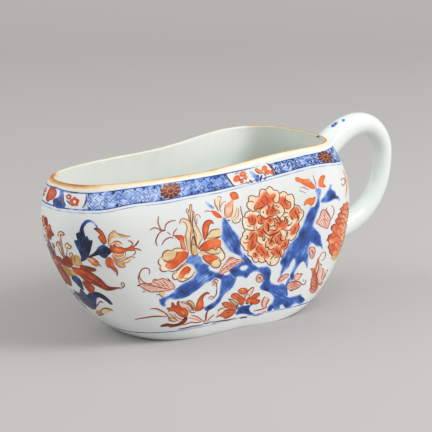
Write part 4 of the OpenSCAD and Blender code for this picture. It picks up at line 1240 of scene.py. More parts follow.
peony = {
    "ground": [
        (peonyEdge, 0.1, [(262, 201, 7, 0.3), (270, 199, 6, 0.3), (284, 203, 5, 0.32), (295, 213, 5, 0.35),
          (252, 219, 5, 0.25), (261, 220, 4, 0.3), (271, 211, 5, 0.35), (270, 220, 4, 0.35),
          (280, 224, 5, 0.42), (266, 227, 4, 0.4), (261, 233, 4, 0.35), (252, 241, 6, 0.35),
          (262, 251, 6, 0.38), (275, 234, 5, 0.4), (279, 240, 4, 0.4), (277, 252, 5, 0.38),
          (285, 244, 4, 0.35), (295, 229, 5, 0.35), (256, 255, 4, 0.25), (271, 242, 4, 0.38),
          (270, 256, 4, 0.22), (283, 237, 3, 0.2), (250, 205, 5, -0.1), (247, 226, 4, -0.1),
          (289, 228, 2.5, -0.2), (292, 198, 4, -0.08), (258, 261, 4, -0.05)]),
    ],
    "bloom": [
        ([(255.5, 208.5), (256.5, 203), (259.5, 199.5), (262, 196), (263.5, 193), (266, 193.5),
          (268, 196.5), (270.5, 195), (273, 194), (275, 195.5), (273.5, 199), (271.5, 202.5),
          (269.5, 204.5), (266.5, 204.5), (263.5, 207), (260, 209), (257, 209.5)], 1,
          [(266, 200, 4, 0.08)]),
        ([(279.8, 200.5), (281, 198), (283.5, 197.5), (285.5, 200), (287.5, 203), (289.5, 206.5),
          (288, 208), (285, 207.5), (282.5, 205), (280, 203)], 1),
        ([(289.8, 214), (291.5, 211), (294, 208.5), (297, 208), (297.5, 211), (298.5, 215), (297.5, 218.8),
          (294.5, 217.5), (291.5, 217.5)], 1),
        ([(248.8, 217.5), (251, 215.8), (254, 216), (256.3, 217.5), (255.8, 221.5), (254, 224.5),
          (250.5, 223.5), (249, 220.5)], 1),
        ([(258.3, 218.3), (261, 216.6), (264, 217.8), (264.6, 221), (262.5, 223.8), (259.5, 222.3)], 1),
        ([(267.5, 210.5), (269.5, 207.8), (272, 206.8), (275, 209), (276.3, 211.5), (274, 214),
          (270.5, 215.5), (267.3, 213.5)], 1),
        ([(266.8, 219), (269.5, 217.2), (272.5, 218.5), (272, 221.8), (269, 223.3), (266.6, 221.8)], 1),
        ([(276.3, 219.5), (278.5, 217.5), (280.3, 220), (283, 221.5), (285.5, 219), (286.3, 223),
          (285, 227.5), (282, 228.5), (279.5, 227), (277, 228.8), (275.6, 226), (277, 223)], 1),
        ([(264.8, 224), (267, 222.8), (268.6, 225.5), (268.4, 229.5), (266.5, 231), (264.6, 228)], 1),
        ([(258, 232), (260, 229.5), (263, 229), (265, 231.5), (264, 235), (261, 236.2), (258.6, 234.8)], 1),
        ([(247.5, 247), (248.5, 243), (250, 239.5), (249.5, 235.5), (251.5, 232), (254.5, 232.8),
          (256.3, 236), (256, 240.5), (255.6, 245), (253, 248.5), (250, 250)], 1, [(252, 246, 3, 0.12)]),
        ([(256.3, 250), (257.5, 246.5), (260, 245), (262.5, 246.5), (265, 250), (267, 253.5),
          (266.5, 256.8), (263.5, 256.3), (260.5, 253.5), (257.5, 252.5)], 1),
        ([(270, 233.5), (272.5, 231.3), (275.5, 231.8), (278.5, 230.8), (280, 233), (277, 235.5),
          (273.5, 236.8), (270.5, 236)], 1),
        ([(277.3, 236), (279.5, 234.5), (281.5, 237), (282, 241), (280.5, 244), (278, 242.5),
          (276.8, 239.5)], 1),
        ([(272.3, 252), (274, 249), (276.5, 246.8), (279, 248.5), (280.5, 252), (281.3, 255.5),
          (278, 255.8), (274.5, 254.8)], 1),
        ([(281, 246), (282.5, 242.5), (285, 240.3), (287.8, 241), (287.2, 245), (285.3, 248.5),
          (282.5, 248.3)], 1),
        ([(291, 232.5), (292, 228.5), (294.3, 225), (297, 223.5), (298.6, 226), (297, 230), (294.5, 232.5),
          (292.5, 234.5)], 1),
        ([(253.6, 255), (255.3, 252.4), (257.8, 253.3), (257.3, 256), (255, 257)], 1),
        ([(269, 241), (270.5, 238), (272.5, 239.5), (272.8, 243), (270.8, 245)], 1),
    ],
    "lines": [
        ([(269.6, 205.4), (268.8, 207.6), (268.4, 210.4)], 0.9, 0.8),
        ([(273.4, 202.6), (272.8, 205), (273.4, 208), (274.4, 210)], 0.9, 0.8),
        ([(277, 209), (279, 211), (278.8, 213.2), (281, 212.4)], 0.9, 0.75),
        ([(272.6, 218.6), (274.8, 221.4), (274.2, 224.8), (276, 226.2)], 0.9, 0.8),
        ([(287.2, 218.6), (288, 221.6), (287.4, 224.2), (289.8, 225)], 0.9, 0.75),
        ([(275.8, 236.5), (274.9, 239), (275.6, 241.8), (277, 244)], 0.9, 0.85),
        ([(266.4, 240.5), (265.6, 243), (266.2, 245.6)], 0.9, 0.8),
        ([(258.2, 246), (256.4, 248.6), (257.4, 251.6)], 0.9, 0.8),
        ([(284.5, 246.5), (281.8, 246.4), (280.8, 249), (281.2, 252.5)], 0.9, 0.8),
        ([(280, 232), (281.2, 235), (280.2, 237.6)], 0.9, 0.85),
        ([(260.6, 199.6), (262.6, 202.6), (264.4, 204.4)], 0.9, 0.7),
        ([(265.4, 196), (267.2, 200), (268.4, 203.4)], 0.9, 0.7),
        ([(294.6, 209), (295.6, 212.6), (297.4, 215.4), (297.2, 219)], 0.9, 0.85),
        ([(283.4, 199), (285, 202.4), (287.2, 205)], 0.9, 0.75),
        ([(251.6, 216.4), (252.2, 219.4), (251.6, 222.6)], 0.9, 0.75),
        ([(261, 218), (261.4, 220.6), (260.8, 222.6)], 0.9, 0.75),
        ([(250.6, 238.6), (252.4, 241.4), (252, 245), (250.4, 248)], 0.9, 0.8),
        ([(260.6, 247), (262.2, 250.4), (264.4, 253.6)], 0.9, 0.8),
        ([(275.8, 248.6), (277.4, 251.4), (277.8, 254.4)], 0.9, 0.8),
        ([(294.6, 226.4), (295.2, 229.4), (293.6, 232)], 0.9, 0.8),
        ([(284.6, 242), (285.6, 244.6), (284.4, 247)], 0.9, 0.8),
        ([(260, 231), (262, 232.6), (262.2, 235)], 0.9, 0.8),
        ([(269.4, 218.4), (270.4, 220.6), (269.6, 222.4)], 0.9, 0.75),
        ([(271, 208.8), (272.2, 211.2), (271.6, 213.8)], 0.9, 0.8),
        ([(264.6, 190), (266, 191.4), (266.8, 193), (268.2, 194.4), (269.8, 195.2)], 0.92, 0.79),
        ([(279.1, 192.8), (279.3, 196.1), (279.1, 198.9), (278.5, 201.1), (277.4, 202.8), (276, 203.1),
          (274.3, 202.2), (273.2, 200.8), (272.4, 199.2), (273.8, 197.2), (274.9, 195.6), (275.7, 194.2)],
          0.92, 0.84),
        ([(254.3, 210), (256, 209.2), (259.3, 208.3), (262.1, 207.2), (263.8, 206.1), (264.9, 204.4)], 1.03,
          0.94),
        ([(254.3, 210), (254.1, 207.8), (254.6, 205.8), (255.7, 204.4)], 0.92, 0.79),
        ([(248.5, 200.6), (249.3, 202), (250.7, 201.1), (252.5, 201.6), (254, 203)], 0.9, 0.69),
        ([(250.6, 208.5), (251, 210.4), (253, 211.4), (255.5, 211), (258, 211.5), (258.8, 213.5)], 0.92,
          0.79),
        ([(263.8, 206.1), (261, 208.9), (259.9, 211.1), (259.9, 213.9), (261, 216.1), (262.7, 217.8),
          (264.9, 218.9), (266.6, 218.3), (268.2, 217.5), (269.9, 216.4), (271.6, 216.1), (273.8, 215.6),
          (275.7, 213.9), (278.2, 213.3)], 1.03, 0.94),
        ([(262.9, 211.1), (263.5, 213.3)], 1.15, 1),
        ([(264.9, 204.4), (266.3, 203.9), (268, 205.3), (268.2, 207.8)], 0.92, 0.84),
        ([(266, 209.5), (267.5, 211.5), (266.5, 213.5), (268, 215)], 0.92, 0.84),
        ([(271.6, 206.1), (272.7, 208.3), (274.3, 210), (276.6, 211.1), (277.5, 212.5)], 0.92, 0.84),
        ([(273, 204), (274.5, 206), (276.5, 205.5), (278, 207.5), (279.5, 206.5)], 0.9, 0.74),
        ([(278.8, 202.2), (280.4, 203.3), (282.1, 205), (283.2, 207.2), (284.3, 209.4), (284.3, 211.7),
          (283.2, 214.4), (281, 216.7), (279.9, 218.3)], 0.92, 0.84),
        ([(286, 195), (285.2, 197.2), (284.9, 199.4), (286.6, 200.6), (288.8, 201.7), (290.4, 202.8),
          (290.7, 205), (290.2, 207.2), (289.6, 208.9)], 1.03, 0.89),
        ([(293.8, 201.7), (294.1, 204.4), (293.8, 207.2), (292.1, 209.4), (290.7, 211.1), (289.6, 213.6)],
          0.92, 0.79),
        ([(284.3, 213.3), (286.3, 212.5), (288.2, 212.8)], 1.03, 0.89),
        ([(285, 207.5), (287, 209), (289, 208.6)], 0.9, 0.74),
        ([(290.2, 216.1), (292.1, 218.3), (291.6, 219.4), (293.2, 219.7)], 1.15, 0.99),
        ([(297.7, 215.6), (298.8, 217.8), (297.7, 220.6), (295.4, 221.7)], 1.03, 0.89),
        ([(297.5, 208), (299, 210.5), (298.5, 213), (300.5, 212), (302, 213.5)], 0.9, 0.74),
        ([(244.3, 217.8), (246, 217.8), (247.9, 217.8), (249.1, 220), (249.3, 222.8)], 1.03, 0.89),
        ([(255.4, 218.3), (255.2, 221.1), (254.3, 223.9), (252.1, 224.4), (249.3, 223.9)], 0.92, 0.79),
        ([(245.4, 228.3), (247.1, 229.4), (249.9, 230.3), (252.7, 230.3), (254.9, 230), (257.5, 231)], 1.03,
          0.89),
        ([(253.2, 226.1), (254.3, 227.8), (254.1, 229.4)], 0.92, 0.79),
        ([(247, 225), (249, 226.4), (251.5, 225.8)], 0.9, 0.69),
        ([(257.4, 217.8), (257.7, 216.1), (258.2, 215), (259.5, 216)], 1.15, 0.99),
        ([(257.9, 220.6), (258.2, 222.8), (260.4, 223.9), (262.7, 223.3), (263.8, 222.8)], 1.03, 0.89),
        ([(255.6, 225), (256.4, 228), (258.4, 229.6), (260.4, 227.2), (262.1, 226.1)], 0.92, 0.79),
        ([(267.1, 222.8), (267.9, 224.4), (268.5, 227.2), (268.5, 230), (268.2, 232.2)], 1.6, 1),
        ([(263.2, 224.4), (262.7, 227.2), (263.2, 230), (264.9, 232.2), (267.1, 233.9), (269.3, 235.6),
          (271.6, 235), (274.3, 233.9), (276.6, 232.8), (278.8, 231.1), (280.2, 229.4)], 1.15, 0.99),
        ([(276, 214.4), (277.7, 216.7), (279.3, 218.3), (280.4, 221.1), (281.6, 223.3)], 1.26, 1),
        ([(272.3, 217.8), (274, 219.2), (275.4, 217.6), (276.4, 220.2), (278, 220)], 0.92, 0.89),
        ([(275.6, 224), (277.4, 222), (279, 224), (280.6, 223)], 1.03, 0.94),
        ([(269.6, 225), (271.4, 226.8), (273.4, 225.4), (274.8, 227)], 0.92, 0.79),
        ([(269.5, 230.5), (271.6, 229.6), (273.6, 230.6), (275.8, 229.8), (277.6, 228.6)], 1.03, 0.94),
        ([(281.6, 219.5), (282.6, 221.4), (284.1, 221.1), (284.6, 220), (285.2, 217.8), (286.6, 219.4),
          (286.3, 222.2), (285.7, 224.4)], 1.03, 0.99),
        ([(282.6, 215.8), (284.4, 217.2), (286.6, 216.4), (288.6, 217.4)], 0.9, 0.79),
        ([(286.3, 225.6), (288.8, 225.6), (290.2, 224.4), (292.1, 221.7)], 1.03, 0.89),
        ([(286, 228.9), (287.4, 230.2), (289.8, 229.8), (291.2, 227.6)], 0.92, 0.79),
        ([(291.6, 231.6), (293.4, 233.4), (296, 232.4)], 0.9, 0.79),
        ([(280.6, 229.6), (283, 229.2), (285.6, 231), (286.4, 233.6)], 0.92, 0.79),
        ([(286.8, 230.6), (287.7, 233.3), (286.3, 235), (287.7, 237.2)], 1.15, 1),
        ([(246, 235.6), (247.1, 235.6), (247.7, 237.2), (246.3, 238.9), (245.2, 239.4)], 1.15, 0.99),
        ([(243, 241), (244.6, 243.4), (246.8, 242.2), (249, 243.6)], 0.9, 0.69),
        ([(247.6, 238.6), (249.2, 239.4), (250.2, 237.8), (252.1, 236.1), (253.8, 232.8)], 1.03, 0.89),
        ([(255.4, 232.8), (256.6, 235.6), (256.8, 237.8), (256.3, 240), (258.2, 242.8), (260.4, 243.9),
          (262.7, 244.4)], 1.03, 0.89),
        ([(249.9, 249.4), (252.7, 248.3), (254.9, 246.1), (256, 243.9)], 1.03, 0.89),
        ([(257.8, 234.2), (259.4, 235.8), (261.8, 236.2), (263.2, 236.1)], 0.92, 0.79),
        ([(263.2, 236.1), (262.7, 238.3), (263.2, 240.6), (264.3, 240), (264.9, 237.2), (264, 235.4)], 1.15,
          1),
        ([(265.6, 236.4), (267.4, 238), (268.6, 239.4), (267.6, 241.4)], 0.92, 0.79),
        ([(270.4, 241.7), (271.6, 238.9), (273.2, 236.1), (274.3, 235.6)], 1.03, 0.99),
        ([(265, 244.4), (266, 247.6), (267.9, 246.7), (268.8, 248.9), (270.4, 249.7), (272.7, 248.9),
          (274.3, 247.8)], 1.15, 1),
        ([(268.2, 243.9), (270.4, 242.8), (271.6, 240.6), (273.4, 241.8), (274.6, 244)], 1.03, 0.94),
        ([(277.1, 240), (277.4, 242.8), (278.8, 244.7), (280.4, 243.9)], 1.03, 0.94),
        ([(279.9, 236.7), (280.4, 238.9), (281.6, 240.6), (283.8, 240)], 1.15, 0.99),
        ([(285.2, 236.1), (285.7, 238.3), (284.9, 240.6)], 0.92, 0.84),
        ([(277, 236.4), (278.6, 235), (280.6, 234.6), (282, 236)], 0.92, 0.84),
        ([(267.7, 250), (267.1, 252.8), (267.9, 255), (269.3, 257.2)], 1.03, 0.89),
        ([(269.9, 251.7), (272.1, 253.3), (273.8, 255), (271.6, 257.8), (270.4, 260)], 1.03, 0.89),
        ([(278.8, 250), (279.6, 253.3), (280.4, 255.6), (282.1, 256.4)], 1.03, 0.94),
        ([(274, 258.6), (276, 257), (278.4, 257.4)], 0.9, 0.79),
        ([(259.9, 254.4), (261.6, 255), (261.6, 256.7)], 1.15, 1),
        ([(252.7, 253.9), (254.3, 253.3), (256, 254.4), (255.4, 256.1), (253.2, 256.1)], 1.03, 0.89),
        ([(257.1, 251.7), (259.3, 252.8)], 1.03, 0.89),
        ([(263.5, 257.5), (264.8, 259.6), (265.6, 262)], 0.92, 0.79),
        ([(270.4, 261), (270.2, 263), (270.6, 265)], 1.03, 0.89),
        ([(257.6, 257.6), (258.6, 259.8), (258, 261.6)], 0.92, 0.79),
    ],
}

rightTrunk = {
    "blue": [
        ([(315, 189), (318, 187.5), (321, 189), (321.3, 193), (319.8, 198), (320, 204), (318.5, 210),
          (316.5, 216), (314.5, 222), (313.2, 225.5), (315.5, 228.5), (318.5, 232), (320.8, 236),
          (321.5, 241), (322.8, 246), (322.5, 249.8), (320.5, 247), (316.5, 246.3), (312.5, 243.5),
          (309.5, 246.5), (308.3, 251), (308.8, 257), (308, 263), (307.3, 268.5), (305.8, 265.5),
          (304, 262.2), (301.8, 262), (299.5, 264.5), (297, 268.5), (294.5, 273), (293.8, 278.5),
          (291.5, 281), (289.5, 279), (290, 275), (292, 270), (294, 265.5), (295, 260.5), (293.5, 259),
          (291.5, 262.5), (289, 267), (286, 270), (283, 273), (281, 277), (279.8, 276.5), (280.5, 272),
          (281.5, 267), (280, 263), (281, 259.5), (283, 256), (285, 251.5), (287, 247), (290, 243),
          (294, 239.5), (297, 236.5), (298.5, 232), (300, 228.5), (302.5, 225), (304.5, 220), (306.5, 215),
          (308.5, 211), (310, 207.5), (314, 206.5), (316, 203), (317, 198), (316, 193.5)], 0.56,
          [(310, 216, 5, 0.3), (304, 236, 7, 0.16), (318, 238, 5, 0.2), (318, 208, 4, 0.2),
          (309, 225, 4, -0.15), (292, 248, 7, -0.12), (300, 261, 4, 0.3), (285, 262, 4, 0.25),
          (292, 276, 4, 0.35), (311, 237, 4, 0.2), (319, 243, 3, 0.2), (303, 249, 4, -0.1)]),
        ([(330, 184.5), (332.5, 184.5), (331.8, 188), (333, 190), (335.5, 191.5), (336, 194.5),
          (338.5, 196.5), (340, 199.5), (339.5, 201), (337.5, 199.5), (335, 199), (332, 200.8),
          (328, 202.5), (323.5, 203), (320.5, 202), (321.5, 199), (324, 195.5), (326, 192), (328.5, 188)],
          0.55, [(334, 196, 4, 0.35), (331, 186, 3, -0.2)]),
    ],
    "blueLines": [
        ([(289.5, 278), (287.5, 283), (286, 289), (287, 296)], 3, 0.6),
    ],
}

rockBranch = {
    "blue": [
        ([(232, 270), (236, 268), (238, 272), (237, 277), (235.5, 282), (233, 287), (229, 291), (225, 294),
          (222, 298), (219.6, 302.6), (215.8, 306.4), (211.6, 309.2), (206, 311), (204.2, 308.4),
          (208.4, 305), (212.6, 302.4), (216.4, 299), (218.6, 296), (219.5, 292), (220, 287), (221, 282),
          (220, 278), (223, 276.5), (227, 275), (230, 272.5)], 0.58, [(226, 285, 6, 0.12),
          (210, 307, 5, 0.25)]),
        ([(229, 270), (233, 267), (237, 264.5), (241, 262), (245, 260), (249, 259.5), (252, 262),
          (255, 265), (258, 267), (262, 266.5), (266, 266), (269, 267), (271, 270), (271, 274), (270, 279),
          (271, 282), (274, 284), (278, 284.5), (282, 283), (285, 284), (286, 287), (286, 291), (287, 296),
          (290, 297), (294, 296), (298, 295), (301, 294), (301.5, 296), (303.5, 297.5), (305, 300),
          (303, 302.5), (300, 304), (296, 303.5), (293, 305), (289, 307.5), (286, 308.5), (284, 306.5),
          (282, 304.5), (280, 306), (279.5, 309.5), (275, 310.5), (273, 308.5), (271, 311), (269, 312.5),
          (267, 311), (268, 307), (271, 303.5), (273, 300.5), (273.5, 297.5), (271, 294), (267, 291.5),
          (263, 290.5), (260, 289), (260, 286), (262, 283), (263, 279.5), (262, 275.5), (259, 272.5),
          (255, 271.5), (251, 273.5), (248, 276.5), (246, 278.5), (243, 277), (239, 276.5), (236, 277.5),
          (233, 277.5), (231, 274)], 0.6, [(232, 272, 4.5, 0.4), (270, 275, 4, 0.2), (266, 291, 2.5, 0.45),
          (270, 309, 4, 0.35), (302, 298, 4, 0.3), (286, 307, 4, 0.3), (247, 277, 3, 0.3),
          (280, 290, 6, 0.05)], [[(240, 268.5), (241.5, 266.5), (245, 265.8), (247.5, 266.5), (246, 269),
          (242.5, 270.3)]]),
    ],
}

rightFlower = {
    "ground": [
        ([(343.5, 203.5), (347, 203), (348.3, 209), (347.8, 215), (346.8, 222), (345, 229), (342.8, 236),
          (341.5, 242), (340.5, 248), (338.5, 254), (335.5, 256.2), (332, 255.5), (331, 254.5),
          (329.5, 252), (329.5, 249.5), (328, 247.5), (328.5, 246), (329.5, 243), (328, 240.5),
          (328.3, 237.5), (328.8, 235.5), (331, 234), (334, 232), (331.8, 230), (331.3, 227.5), (333, 225),
          (336.5, 223.5), (335.5, 221.5), (336, 219.5), (338.5, 217), (338.3, 214.5), (341.5, 211),
          (340, 209), (342.8, 206.5)], 0.7, [(345, 206, 3, 0.25), (341, 213, 2.5, 0.35),
          (345, 213, 2.5, -0.2), (339, 220, 2.5, 0.4), (343, 221, 2.5, -0.15), (338, 226, 3, 0.4),
          (333, 227, 2, 0.3), (342, 230, 2.5, -0.1), (336, 234, 3, 0.45), (331, 238, 2.5, 0.35),
          (338, 241, 3, 0.2), (333, 247, 3, 0.45), (337, 250, 2.5, -0.1), (332, 253, 2, 0.3),
          (330.5, 241.5, 1.7, -0.55), (336, 244.5, 1.5, -0.45), (340.5, 226, 1.5, -0.5),
          (343.5, 217, 1.4, -0.45), (334.5, 229.5, 1.4, -0.4), (345.5, 209, 1.3, -0.45),
          (338, 233, 1.3, -0.4), (334, 252, 1.3, -0.35)]),
    ],
    "gold": [
        ([(331.5, 255), (335, 254), (336, 258), (333.5, 260.5), (331.5, 258.5)], 0.7),
    ],
    "lines": [
        ([(326.5, 241), (328.5, 237.5), (330.5, 234.5)], 1.2, 0.6),
        ([(343.5, 203.5), (342.8, 206.5), (340, 209), (341.5, 211), (338.3, 214.5), (338.5, 217),
          (336, 219.5), (335.5, 221.5), (336.5, 223.5)], 1, 0.6),
        ([(336.5, 223.5), (333, 225), (331.3, 227.5), (331.8, 230), (334, 232)], 1.2, 0.75),
        ([(334, 232), (331, 234), (328.8, 235.5), (328.2, 238.5), (328, 240.5), (329.5, 243)], 1.1, 0.65),
        ([(329.5, 243), (328.5, 246), (328, 247.5), (329.5, 249.5), (329.5, 252), (331, 254.5),
          (333, 255.6)], 1, 0.65),
    ],
}

rightCurls = {
    "lines": [
        ([(342.5, 207), (343.4, 210), (345.6, 209), (346.6, 212)], 0.9, 0.55),
        ([(341.5, 211), (342, 214), (344.4, 214.4), (346.4, 217.6)], 0.9, 0.6),
        ([(338.5, 217), (340.2, 219.4), (342.8, 217.8), (344.6, 221)], 0.9, 0.6),
        ([(336.5, 223.5), (339, 224.4), (341.4, 222.6), (343.6, 226.4)], 0.9, 0.55),
        ([(333, 228.5), (336, 229.8), (338.8, 227.8), (341.8, 231.4)], 0.8, 0.5),
        ([(331, 236), (334, 237.6), (337, 235.2), (340, 238.6)], 0.8, 0.5),
        ([(330.5, 243.5), (333.6, 244.2), (336.4, 242), (339.4, 245.4)], 0.8, 0.5),
        ([(330.6, 250.6), (333.4, 250.8), (336, 249), (338.4, 251.6)], 0.8, 0.5),
    ],
}

rightSpray = {
    "red": [
        ([(295, 178), (298, 177), (301, 178.5), (305, 179), (307.5, 179), (309, 181.5), (312, 183.5),
          (315.5, 187.5), (312.5, 189), (308, 187), (304, 185), (300, 182.5), (296.5, 181.5)], 0.45),
        ([(318.5, 186), (318.5, 182), (319.5, 178), (321, 175.8), (323.5, 175), (325, 176.5), (324, 180),
          (323.5, 183.5), (326, 186), (324.5, 187.5), (321, 187)], 0.45),
        ([(304, 206), (304.3, 202.5), (306, 199.5), (309, 198), (312.5, 197.5), (315.5, 196.5), (315, 200),
          (313.5, 204), (311, 206), (308.5, 203.8), (306, 204.5)], 0.45),
    ],
    "pink": [
        ([(287, 286.4), (288.4, 283), (291, 281.8), (296, 281.4), (299.4, 281.8), (300.8, 284),
          (299.4, 286.6), (296.6, 288.6), (293, 289.8), (289.6, 290.4), (287.4, 289)], 0.3,
          [(294, 283.6, 2.6, 0.35)]),
        ([(317.5, 258), (316.5, 262), (315, 266), (313.5, 269), (311.5, 268.3), (310.5, 269.5), (312, 272),
          (312, 276), (311, 279), (310.5, 283), (310, 287), (309.2, 290), (310.5, 292.5), (312.5, 293.5),
          (315, 292.5), (317, 289.5), (318.5, 286), (318, 282), (317, 278), (316.5, 274), (316, 270),
          (317, 266), (318.5, 262)], 0.5, [(314, 276, 4, 0.2), (314, 287, 4, 0.25), (317, 264, 3, -0.2)]),
        ([(318.5, 260), (319.5, 264), (319, 268), (318, 271.5), (317, 275), (317.5, 279), (319, 283),
          (320, 285), (322, 282), (324, 279), (326, 275), (326.8, 272.5), (325, 270.5), (323.5, 268),
          (322, 271), (320.5, 268), (320.3, 264)], 0.25, [(324, 276, 3, 0.1)]),
    ],
    "hatched": [
        ([(316.5, 223), (318, 219.5), (320, 216), (321, 212), (323.5, 209.5), (326.5, 211), (328, 214),
          (330, 217), (330, 221.5), (328.5, 225.5), (327.5, 228.5), (324.5, 227.5), (321.5, 226.5),
          (319, 224.5)], 60, 1.7),
        ([(277.6, 281), (280, 277.4), (283.2, 275.2), (286.8, 273.8), (288.6, 274.4), (287.4, 277),
          (284.6, 278.8), (282.2, 280.6), (279.6, 282)], 0, 1.3),
        ([(294, 280), (294.2, 276.6), (296.2, 274.2), (299, 273.8), (301.8, 273.8), (300.4, 276.6),
          (299, 279), (296.6, 280.4)], 20, 1.4),
        ([(309, 249), (311, 247), (314, 247.2), (315, 250.5), (314.5, 254), (312, 258.5), (310, 256)], 60,
          1.6),
    ],
    "redLines": [
        ([(343, 170), (345, 176), (346.5, 183), (346.5, 190), (345.5, 197)], 1.2, 0.3),
        ([(311.4, 272), (313.6, 273.4), (315.4, 275.8)], 0.7, 0.72),
        ([(311.4, 275), (313.6, 276.6), (315.6, 279)], 0.7, 0.72),
        ([(311, 278), (313.6, 279.6), (316, 282)], 0.7, 0.72),
        ([(310.8, 281.4), (313.4, 282.8), (316.2, 285)], 0.7, 0.72),
        ([(310.4, 284.6), (313, 285.8), (316, 287.8)], 0.7, 0.72),
        ([(310, 287.8), (312.6, 288.8), (315, 290.4)], 0.7, 0.72),
        ([(318.4, 257.6), (317, 265), (315.6, 271), (315.6, 277), (316.6, 281), (316, 287.4)], 1, 0.68),
        ([(289, 283.2), (292, 284.8), (296, 286.6), (298, 287.4)], 0.8, 0.75),
        ([(289, 286), (292, 287.4), (294.4, 288.8)], 0.7, 0.7),
        ([(292.4, 282.2), (296, 284.2), (299.4, 285.4)], 0.8, 0.75),
        ([(278, 280.8), (280, 277.6), (282, 276)], 1.1, 0.85),
    ],
    "lines": [
        ([(300, 188), (303, 187), (306, 188.5), (309, 190)], 0.7, 0.35),
        ([(308, 178), (311, 182), (314, 185)], 0.6, 0.3), ([(313, 175), (315, 182), (316, 187)], 0.6, 0.3),
        ([(299, 190), (302.5, 191.5), (306, 193)], 0.6, 0.25),
        ([(341, 181), (342, 178.5), (344.5, 179), (345, 182.5), (343, 185.5), (341.5, 183.5)], 0.9, 0.4),
        ([(331.5, 205), (333.5, 208), (334, 212), (332.5, 216), (331, 219.5)], 0.8, 0.35),
        ([(326, 211), (327, 207.5)], 0.8, 0.4),
        ([(316.5, 223), (318, 219.5), (320, 216), (321, 212), (323.5, 209.5), (327, 211.5), (330, 217),
          (330, 221.5), (327.5, 228.5)], 0.8, 0.4),
        ([(320, 221), (324, 219.5), (328, 221)], 0.6, 0.4),
        ([(325, 212), (324.5, 218), (325.5, 226)], 0.6, 0.4),
        ([(318.8, 261), (318.4, 268), (316.6, 275), (317.4, 281), (316, 288), (313, 292.6)], 0.8, 0.55),
        ([(310.6, 269.4), (311.6, 268.2), (313.4, 269), (314, 272), (313, 277)], 0.9, 0.6),
        ([(310.6, 279), (312, 281), (310.6, 284), (311.6, 287), (309.6, 290)], 0.8, 0.5),
        ([(314.6, 279), (316, 283), (315, 287)], 0.9, 0.5), ([(320.6, 263.4), (321.6, 265.6)], 1, 0.6),
        ([(321.6, 267.4), (323, 270), (322.4, 274), (321, 279)], 0.8, 0.45),
        ([(326.6, 271), (328, 269.8)], 1, 0.6), ([(324.8, 272), (324.4, 276), (322, 280.4)], 0.7, 0.4),
        ([(318.4, 283), (320, 285), (322.4, 281.8)], 0.8, 0.5),
        ([(309, 249), (311, 247), (314, 247.2), (315, 250.5), (314.5, 254), (312, 258.5), (310, 256),
          (309, 249)], 0.8, 0.5),
        ([(311, 250), (313, 252.5), (312, 255)], 0.9, 0.6),
        ([(318, 262), (320, 256), (322.5, 252.5), (325, 252), (325.5, 255), (324, 259), (321, 260.5)], 0.7,
          0.35),
        ([(288.2, 282.6), (292, 281.6), (296, 281.6), (299, 281.6), (301, 283.4), (302.8, 284.6),
          (304.8, 283.6), (305.8, 281.4), (305.8, 279.6)], 0.9, 0.75),
        ([(300.6, 284.4), (299.4, 286.6), (296.6, 288.6), (293, 289.6), (290, 290.2)], 0.8, 0.7),
        ([(303.4, 279.4), (303.6, 280.8)], 1.1, 0.8), ([(296.8, 273.4), (298.2, 273.6)], 1.4, 0.9),
        ([(301, 275), (302.8, 273.6)], 0.8, 0.7), ([(290, 290.4), (292.8, 290.8)], 1, 0.85),
        ([(321.4, 281.8), (322, 283)], 1.2, 0.8),
    ],
}

